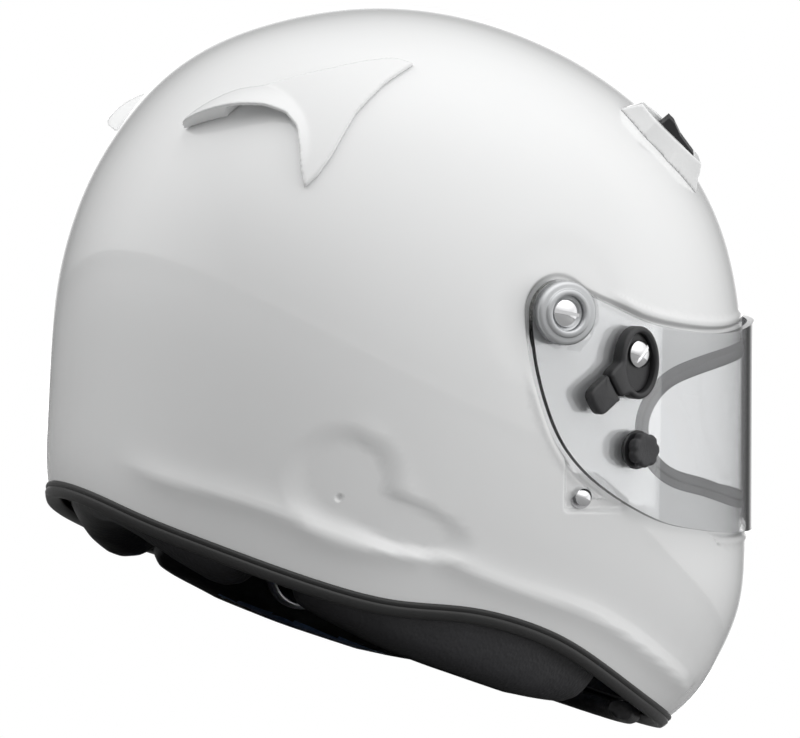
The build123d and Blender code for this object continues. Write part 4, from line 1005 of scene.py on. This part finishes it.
def make_covers():
    covers = (("exhaust_shroud_", "exhaust_cover_", 0.75, 6, "shell", "helmet", "shell_paint"),
              ("intake_shroud_", "intake_cover_", 0.5, 5, "shell", "helmet", "shell_paint"),
              ("intake_shutter_", "intake_slider_", 0.3, 3, "plastic", "intake_slider_", "black_plastic"))
    for side, _ in SIDES:
        for name, node, voxel, passes, finish, body, slot in covers:
            cover = softened(name + side, node + side, voxel, passes, finish)
            settle(cover, sided(body, side), slot, node + side)


# Pads and straps

def filled(piece, start, swell):
    """Shrinks a pad a little, blows it up as cloth and caps how far it moves."""
    mesh = piece.data
    count = len(mesh.vertices)
    rest = np.empty(count * 3, np.float32)
    mesh.vertices.foreach_get("co", rest)
    rest = rest.reshape(-1, 3)
    normals = np.array([v.normal for v in mesh.vertices], np.float32)
    begin = rest - normals * start
    mesh.vertices.foreach_set("co", begin.ravel())
    cloth = piece.modifiers.new("fill", "CLOTH")
    cloth.settings.use_pressure, cloth.settings.uniform_pressure_force = True, 4.0
    cloth.settings.effector_weights.gravity = 0
    scene = bpy.context.scene
    for number in range(1, 21):
        scene.frame_set(number)
    graph = bpy.context.evaluated_depsgraph_get()
    blown = np.empty(count * 3, np.float32)
    piece.evaluated_get(graph).data.vertices.foreach_get("co", blown)
    moved = blown.reshape(-1, 3) - begin
    far = np.linalg.norm(moved, axis=1)
    moved *= np.minimum(1, swell / np.maximum(far, 1e-9))[:, None]
    piece.modifiers.clear()
    scene.frame_set(1)
    mesh.vertices.foreach_set("co", (begin + moved).ravel())
    mesh.update()


def make_pads():
    pads = [("cheek_pad_left", 4.5, "vinyl"), ("cheek_pad_right", 4.5, "vinyl"), ("neck_roll", 3.5, "vinyl"),
            ("chin_lip_pad", 2.5, "vinyl"), ("crown_pad", 4.0, "velour"), ("brow_pad", 3.5, "velour"),
            ("head_band_pad", 4.0, "velour")]
    slots = {"vinyl": "pad_vinyl", "velour": "comfort_cloth"}
    for node, voxel, finish in pads:
        pad = softened(node + "_cover", node, voxel, 4, finish)
        filled(pad, 0.0015, bpy.context.scene.helmet_looks.pad_swell)
        more = pad.modifiers.new("more", "SUBSURF")
        more.levels = more.render_levels = 1
        applied(pad)
        pad.data.shade_smooth()
        settle(pad, "helmet", slots[finish], node)
        if node.startswith("cheek"):
            face_cloth(pad)


def face_cloth(pad):
    """Gives the faces that meet the wearer the soft cloth."""
    pad.data.materials.append(MATERIALS["velour"])
    sign = 1 if pad.data.vertices[0].co.x > 0 else -1
    for face in pad.data.polygons:
        if face.normal.x * sign < -0.25 and not 0.004 < face.center.z < 0.06:
            face.material_index = 1


# Straps, rings and stitches, laid out in the upright plane across the helmet as x and z

STRAP_F, STRAP_HALF, SEAM_HALF = 22.0, 12.0, 9.0
STITCH, THREAD = 1.5 * MM, 0.5 * MM
BAR_Z, BAR_X, WIRE = 29.0, (53.75, 50.25), 1.5
STRAP_TOP = [(114.7, 84.0), (113.8, 76.0), (112.3, 68.0), (109.6, 60.0), (103.5, 53.6), (90.0, 48.9),
             (72.0, 44.9), (60.0, 42.2)]
FREE_END = [(54.6, 40.2), (52.6, 36.5), (52.0, 30.0), (52.0, 14.0)]
RING_LOOP = [(55.4, 40.4), (54.1, 36.5), (55.4, 32.5), (56.6, 29.0), (55.4, 26.5), (52.0, 25.9),
             (48.6, 26.5), (47.4, 29.0), (48.6, 32.8), (51.2, 37.0), (52.6, 41.2), (55.6, 43.3),
             (62.0, 44.75), (70.0, 46.5), (79.0, 48.5)]


def strap_piece(name, line):
    """Woven strap along a line, with thin edges and its UV in metres."""
    path = smooth_line(line, 220)
    ahead = unit(np.gradient(path, axis=0))
    side = np.stack([-ahead[:, 1], ahead[:, 0]], axis=1)
    half = [(-1.0, 0.35), (-0.985, 0.7), (-0.94, 0.95), (-0.88, 0.85), (-0.4, 0.85), (0.0, 0.85),
            (0.4, 0.85), (0.88, 0.85), (0.94, 0.95), (0.985, 0.7), (1.0, 0.35)]
    wide, thick = np.array(half + [(w, -t) for w, t in half[::-1]]).T
    across = wide * STRAP_HALF
    loops = [to_scene(np.stack([x + dx * thick, STRAP_F + across, z + dz * thick], axis=1))
             for (x, z), (dx, dz) in zip(path, side)]
    piece = loops_mesh(name, loops, MATERIALS["strap"])
    corners = np.array([c.vertex_index for c in piece.data.loops])
    along, around_it = np.divmod(corners, len(across))
    uv = np.stack([run_along(path)[along], across[around_it]], axis=1) * MM
    piece.data.uv_layers.new(name="weave").data.foreach_set("uv", uv.astype(np.float32).ravel())
    return piece, path, side


def stitch_tree():
    """Rows of stitches on the edges of a mesh."""
    tree = bpy.data.node_groups.new("stitch_rows", "GeometryNodeTree")
    for name, way, kind in (("Geometry", "INPUT", "Geometry"), ("Pitch", "INPUT", "Float"),
                            ("Length", "INPUT", "Float"), ("Thread", "INPUT", "Float"),
                            ("Material", "INPUT", "Material"), ("Geometry", "OUTPUT", "Geometry")):
        tree.interface.new_socket(name, in_out=way, socket_type="NodeSocket" + kind)

    def add(kind, inputs=(), **options):
        return add_node(tree, kind, inputs, **options).outputs[0]

    given = add_node(tree, "NodeGroupInput").outputs
    curve = add("GeometryNodeMeshToCurve", {0: given["Geometry"]})
    spots = add("GeometryNodeResampleCurve", {"Curve": curve, "Length": given["Pitch"]}, mode="LENGTH")
    size = add("ShaderNodeCombineXYZ", {"X": given["Length"], "Y": given["Thread"], "Z": given["Thread"]})
    turn = add("FunctionNodeAlignRotationToVector", {"Vector": add("GeometryNodeInputTangent")}, axis="X")
    beads = add("GeometryNodeInstanceOnPoints", {
        "Points": spots, "Instance": add("GeometryNodeMeshUVSphere", {"Segments": 8, "Rings": 6}),
        "Rotation": turn, "Scale": size})
    smooth = add("GeometryNodeSetShadeSmooth", {0: add("GeometryNodeRealizeInstances", {0: beads})})
    thread = add("GeometryNodeSetMaterial", {"Geometry": smooth, "Material": given["Material"]})
    add_node(tree, "NodeGroupOutput", {0: thread})
    return tree


def stitches(name, rows, pitch):
    """Stitches along rows of points, given in Blender's metres."""
    points, edges = [], []
    for row in rows:
        edges += [(len(points) + i, len(points) + i + 1) for i in range(len(row) - 1)]
        points += [tuple(p) for p in row]
    mesh = bpy.data.meshes.new(name)
    mesh.from_pydata(points, edges, [])
    piece = add_object(name, mesh)
    tree = bpy.data.node_groups.get("stitch_rows") or stitch_tree()
    nodes = piece.modifiers.new("stitches", "NODES")
    nodes.node_group = tree
    values = {"Pitch": pitch, "Length": STITCH / 2, "Thread": THREAD / 2, "Material": MATERIALS["thread"]}
    for item in tree.interface.items_tree:
        if item.in_out == "INPUT" and item.name in values:
            nodes[item.identifier] = values[item.name]
    return applied(piece)


def strap_rows(path, side, low, high, lift):
    """A box of stitches with a cross in it, between two heights of the strap."""
    keep = np.flatnonzero((path[:, 1] > low) & (path[:, 1] < high))
    spots = path[keep] + side[keep] * lift
    across = np.linspace(-1, 1, len(spots)) * SEAM_HALF
    edge = np.full(len(spots), SEAM_HALF)
    rows = [[(x, STRAP_F + w, z) for (x, z), w in zip(spots, wide)]
            for wide in (-edge, edge, across, -across)]
    for x, z in (spots[0], spots[-1]):
        rows.append([(x, STRAP_F + w, z) for w in np.linspace(-SEAM_HALF, SEAM_HALF, 12)])
    return [to_scene(row) for row in rows]


def make_straps():
    pitch = 18.0 * MM / bpy.context.scene.helmet_looks.stitch_count * 2
    for side, sign, name, line, end, low, high, lifts in (
            ("left", 1, "strap_with_rings", RING_LOOP, 110, 43.2, 46.9, (-2.9, 0.95)),
            ("right", -1, "strap_free_end", FREE_END, 220, 16.5, 30.0, (-0.95, 0.95))):
        piece, path, away = strap_piece(name, STRAP_TOP + line)
        if sign < 0:
            piece.data.transform(Matrix.Scale(-1, 4, (1, 0, 0)))
            piece.data.flip_normals()
        settle(piece, "helmet", "strap_web", "chin_strap_" + side)
        rows = [row * (sign, 1, 1) for lift in lifts
                for row in strap_rows(path[:end], away[:end], low, high, lift)]
        settle(stitches("strap_stitches_" + side, rows, pitch), "helmet", "strap_web")


def make_rings():
    turns = np.linspace(math.radians(17.2), math.radians(162.8), 70)
    bow = polar(14.66, turns) * (1, -1) + (0, -4.34)
    bar = np.stack([np.linspace(-14, 14, 40)[1:-1], np.zeros(38)], axis=1)
    outline = even(np.vstack([bow, bar]), 180)
    for _ in range(10):
        outline = 0.5 * outline + 0.25 * (np.roll(outline, 1, axis=0) + np.roll(outline, -1, axis=0))
    wire = polar(WIRE, full_turn(16))
    for name, x in zip(("outer", "inner"), BAR_X):
        path = np.column_stack([np.full(len(outline), x), outline + (STRAP_F, BAR_Z)])
        flat = np.tile((1.0, 0.0, 0.0), (len(path), 1))
        body = node = "d_ring_" + name
        swept("d_ring_wire_" + name, path, flat, wire, "steel", 60, body, "steel", node)


def plain_node_looks():
    """Finishes of the nodes that stay as the CAD made them."""
    keep = {"impact_liner": "liner", "chin_liner": "liner", "chin_filter": "filter"}
    for side, _ in SIDES:
        keep["pivot_bush_" + side] = "nylon"
        keep.update({name + side: "steel" for name in ("pivot_nut_", "stay_washer_", "strap_anchor_")})
    for node, finish in keep.items():
        mesh = frame["nodes"][node].data
        mesh.materials.clear()
        mesh.materials.append(MATERIALS[finish])


# Stage

def area_light(name, place, wide, high, power):
    """A panel that shines at the helmet and isn't seen in its gloss."""
    lamp = bpy.data.lights.new(name, "AREA")
    lamp.shape, lamp.size, lamp.size_y, lamp.energy = "RECTANGLE", wide, high, power
    light = add_object(name, lamp)
    light.location = place
    light.rotation_euler = (Vector((0, 0, 0.15)) - Vector(place)).to_track_quat("-Z", "Y").to_euler()
    light.visible_glossy = False


def make_camera():
    """The photograph's view: from the right rear, a little above level in the worn helmet's frame."""
    turn, rise, distance = math.radians(24), math.radians(3), 1.6

    def world(x, u, v):
        return Vector((x, v * SIN - u * COS, u * SIN + v * COS))

    back = world(-math.cos(turn) * math.cos(rise), -math.sin(turn) * math.cos(rise), math.sin(rise))
    right = world(-math.sin(turn), math.cos(turn), 0)
    up = back.cross(right)
    lens = bpy.data.cameras.new("photo_camera")
    lens.sensor_width, lens.lens = 36.0, 36.0 * distance / (0.4325 * MM * 800)
    camera = add_object("photo_camera", lens)
    target = Vector((0, (STATION_Y - 12) * MM, 0.120))
    axes = Matrix((right, up, back)).transposed().to_4x4()
    camera.matrix_world = Matrix.Translation(target + back * distance) @ axes
    bpy.context.scene.camera = camera


def floor_material(colour):
    """White for the camera, with less light thrown back at the object. The photograph looks up past
    the floor's plane, so the floor's underside lets everything through. Far from the object the
    camera sees through the floor to the white behind it."""
    paint = Finish("floor_paint", colour, 0.6)
    tree, shader = paint.tree, paint.shader
    paint.varied_colour(paint.noise(2.0), colour, mixed(colour, 0.99))
    camera = paint.add("ShaderNodeLightPath").outputs["Is Camera Ray"]
    plain = shader.inputs["Base Color"].links[0].from_socket
    dimmed = paint.add("ShaderNodeMix", {0: 1.0, 6: plain, 7: spanned(tree, camera, low=0.3)},
                       data_type="RGBA", blend_type="MULTIPLY")
    paint.shade("Base Color", dimmed.outputs[2])
    away = paint.add("ShaderNodeVectorMath", {0: paint.place}, operation="LENGTH").outputs["Value"]
    far = worked_out(tree, "MULTIPLY", spanned(tree, away, start=0.35, end=1.1, smooth=True), camera)
    below = paint.add("ShaderNodeNewGeometry").outputs["Backfacing"]
    clear = paint.add("ShaderNodeBsdfTransparent").outputs[0]
    blend = {0: worked_out(tree, "MAXIMUM", below, far), 1: shader.outputs[0], 2: clear}
    paint.give("Surface", paint.add("ShaderNodeMixShader", blend).outputs[0])
    return paint.material


def make_stage():
    looks = bpy.context.scene.helmet_looks
    mesh = bpy.data.meshes.new("floor")
    mesh.from_pydata([(-30, -30, 0), (30, -30, 0), (30, 30, 0), (-30, 30, 0)], [], [(0, 1, 2, 3)])
    mesh.materials.append(floor_material(looks.floor_colour))
    floor = add_object("floor", mesh)
    make_sky(looks)
    area_light("top_panel", (-0.1, 0.0, 1.7), 1.6, 1.6, 12.5 * looks.light_level)
    area_light("side_panel", (-1.3, -1.3, 0.7), 1.4, 1.0, 13.0 * looks.light_level)
    area_light("rear_panel", (0.3, 1.7, 0.9), 1.6, 1.0, 11.0 * looks.light_level)


BACKDROP = (0.912, -0.398, 0.097)
# Stops of the sky's levels, from straight down to straight up and from away from to towards the backdrop
ABOVE = [(0.0, 0.14), (0.40, 0.80), (0.52, 0.22), (0.62, 0.40), (0.80, 0.75), (1.0, 1.0)]
BEHIND = [(0.0, 0.0), (0.61, 1.0), (1.0, 1.0)]
EDGE = [(0.0, 1.0), (0.940, 0.06), (0.955, 0.10), (1.0, 1.0)]


def make_sky(looks):
    """White for the camera. The object meets a sky that brightens upwards and towards a backdrop,
    and darkens again where it nears the backdrop's middle."""
    world = bpy.data.worlds.new("studio")
    bpy.context.scene.world = world
    world.use_nodes = True
    tree = world.node_tree
    ray = add_node(tree, "ShaderNodeLightPath").outputs
    way = add_node(tree, "ShaderNodeTexCoord").outputs["Generated"]

    def graded(value, stops):
        """A level that follows a direction's share between minus one and one."""
        ramp = add_node(tree, "ShaderNodeValToRGB", {0: spanned(tree, value, start=-1.0)})
        marks = ramp.color_ramp.elements
        for mark, (_, level) in zip(marks, (stops[0], stops[-1])):
            mark.color = (level, level, level, 1)
        for spot, level in stops[1:-1]:
            marks.new(spot).color = (level, level, level, 1)
        return ramp.outputs["Color"]

    height = add_node(tree, "ShaderNodeSeparateXYZ", {0: way}).outputs["Z"]
    across = add_node(tree, "ShaderNodeVectorMath", {0: way, 1: BACKDROP}, operation="DOT_PRODUCT")
    across = across.outputs["Value"]
    bright = worked_out(tree, "MAXIMUM", graded(height, ABOVE), graded(across, BEHIND))
    shine = spanned(tree, ray["Is Glossy Ray"], low=looks.sky_level, high=looks.shine_level)
    sky = tree.nodes["Background"]
    tree.links.new(worked_out(tree, "MULTIPLY", bright, graded(across, EDGE)), sky.inputs["Color"])
    tree.links.new(shine, sky.inputs["Strength"])
    plain = add_node(tree, "ShaderNodeBackground", {"Color": (1, 1, 1, 1)})
    straight = worked_out(tree, "LESS_THAN", ray["Glossy Depth"], 0.5)
    through = worked_out(tree, "MULTIPLY", straight, ray["Is Transmission Ray"])
    seen = worked_out(tree, "MAXIMUM", ray["Is Camera Ray"], through)
    choice = add_node(tree, "ShaderNodeMixShader", {0: seen, 1: sky.outputs[0], 2: plain.outputs[0]})
    tree.links.new(choice.outputs[0], tree.nodes["World Output"].inputs["Surface"])


# Add-on

def colour(name, text, *default):
    return FloatVectorProperty(name=name, description=text, subtype="COLOR", default=default, min=0, max=1)


def level(name, text, default, most, unit="NONE"):
    return FloatProperty(name=name, description=text, default=default, min=0, max=most, unit=unit)


class HelmetLooks(bpy.types.PropertyGroup):
    shell_colour: colour("Shell colour", "Colour of the shell's gloss paint", 0.88, 0.885, 0.885)
    gasket_colour: colour("Gasket colour", "Colour of the eye port's rubber seal", 0.23, 0.23, 0.235)
    trim_colour: colour("Trim colour", "Colour of the lower edge trim", 0.022, 0.022, 0.022)
    plastic_colour: colour("Plastic colour", "Colour of the visor locks and shutters", 0.03, 0.03, 0.032)
    alloy_colour: colour("Alloy colour", "Colour of the pivot cover discs", 0.60, 0.61, 0.62)
    vinyl_colour: colour("Vinyl colour", "Colour of the lower pads", 0.022, 0.022, 0.024)
    velour_colour: colour("Velour colour", "Colour of the cloth on the wearer's side", 0.16, 0.27, 0.50)
    liner_colour: colour("Liner colour", "Colour of the impact liner's foam", 0.045, 0.045, 0.047)
    strap_colour: colour("Strap colour", "Colour of the chin strap", 0.03, 0.03, 0.033)
    visor_tint: colour("Visor tint", "Colour of the clear visor sheet", 0.97, 0.975, 0.98)
    visor_depth: level("Visor depth", "How much light a metre of visor sheet takes up", 50.0, 500)
    floor_colour: colour("Floor colour", "Colour of the studio floor", 0.93, 0.93, 0.93)
    pad_swell: level("Pad swell", "How far the pads' covers may blow up", 0.0035, 0.01, unit="LENGTH")
    sky_level: level("Sky level", "Strength of the studio's even light", 1.25, 2)
    shine_level: level("Shine level", "Strength of the sky as the gloss mirrors it", 2.6, 8)
    light_level: level("Light level", "Strength of the studio's panels", 1.0, 4)
    stitch_count: IntProperty(name="Stitches", description="Stitches along each strap seam",
                              default=18, min=2, max=80)


class HelmetOperator(bpy.types.Operator):
    bl_options = {"REGISTER", "UNDO"}

    def execute(self, context):
        for step in self.steps:
            step()
        return {"FINISHED"}


class HELMET_OT_finishes(HelmetOperator):
    """Makes every material and finishes the nodes that keep their CAD shape"""
    bl_idname = "helmet.finishes"
    bl_label = "Finishes"
    steps = (make_materials, plain_node_looks)


class HELMET_OT_shell(HelmetOperator):
    """Makes the shell with its recess, eye port and pressed forms"""
    bl_idname = "helmet.shell"
    bl_label = "Shell"
    steps = (make_shell,)


class HELMET_OT_rubber(HelmetOperator):
    """Makes the eye port's gasket and the lower edge trim"""
    bl_idname = "helmet.rubber"
    bl_label = "Rubber parts"
    steps = (make_gasket, make_trim)


class HELMET_OT_visor(HelmetOperator):
    """Makes the clear visor sheet"""
    bl_idname = "helmet.visor"
    bl_label = "Visor"
    steps = (make_visor,)


class HELMET_OT_hardware(HelmetOperator):
    """Makes the pivots, visor locks, tear-off posts and studs"""
    bl_idname = "helmet.hardware"
    bl_label = "Hardware"
    steps = (make_pivots, make_locks, make_posts, make_studs)


class HELMET_OT_covers(HelmetOperator):
    """Makes the exhaust and intake covers and the intake shutters"""
    bl_idname = "helmet.covers"
    bl_label = "Air covers"
    steps = (make_covers,)


class HELMET_OT_pads(HelmetOperator):
    """Makes the padding inside the helmet"""
    bl_idname = "helmet.pads"
    bl_label = "Pads"
    steps = (make_pads,)


class HELMET_OT_straps(HelmetOperator):
    """Makes the chin straps and their D-rings"""
    bl_idname = "helmet.straps"
    bl_label = "Straps"
    steps = (make_straps, make_rings)


class HELMET_OT_stage(HelmetOperator):
    """Makes the floor, the lights and the camera"""
    bl_idname = "helmet.stage"
    bl_label = "Stage"
    steps = (make_stage, make_camera)


OPERATORS = (HELMET_OT_finishes, HELMET_OT_shell, HELMET_OT_rubber, HELMET_OT_visor, HELMET_OT_hardware,
             HELMET_OT_covers, HELMET_OT_pads, HELMET_OT_straps, HELMET_OT_stage)


class HELMET_PT_panel(bpy.types.Panel):
    bl_label = "Auto racing helmet"
    bl_idname = "HELMET_PT_panel"
    bl_space_type = "VIEW_3D"
    bl_region_type = "UI"
    bl_category = "Helmet"

    def draw(self, context):
        looks = context.scene.helmet_looks
        for name in HelmetLooks.__annotations__:
            self.layout.prop(looks, name)
        for operator in OPERATORS:
            self.layout.operator(operator.bl_idname)


CLASSES = (HelmetLooks, *OPERATORS, HELMET_PT_panel)


def register():
    for cls in CLASSES:
        bpy.utils.register_class(cls)
    bpy.types.Scene.helmet_looks = PointerProperty(type=HelmetLooks)


def unregister():
    del bpy.types.Scene.helmet_looks
    for cls in reversed(CLASSES):
        bpy.utils.unregister_class(cls)


def main():
    register()
    bpy.context.scene.view_settings.view_transform = "Standard"
    for operator in OPERATORS:
        group, name = operator.bl_idname.split(".")
        getattr(getattr(bpy.ops, group), name)()
    bpy.context.view_layer.update()


if __name__ == "__main__":
    main()
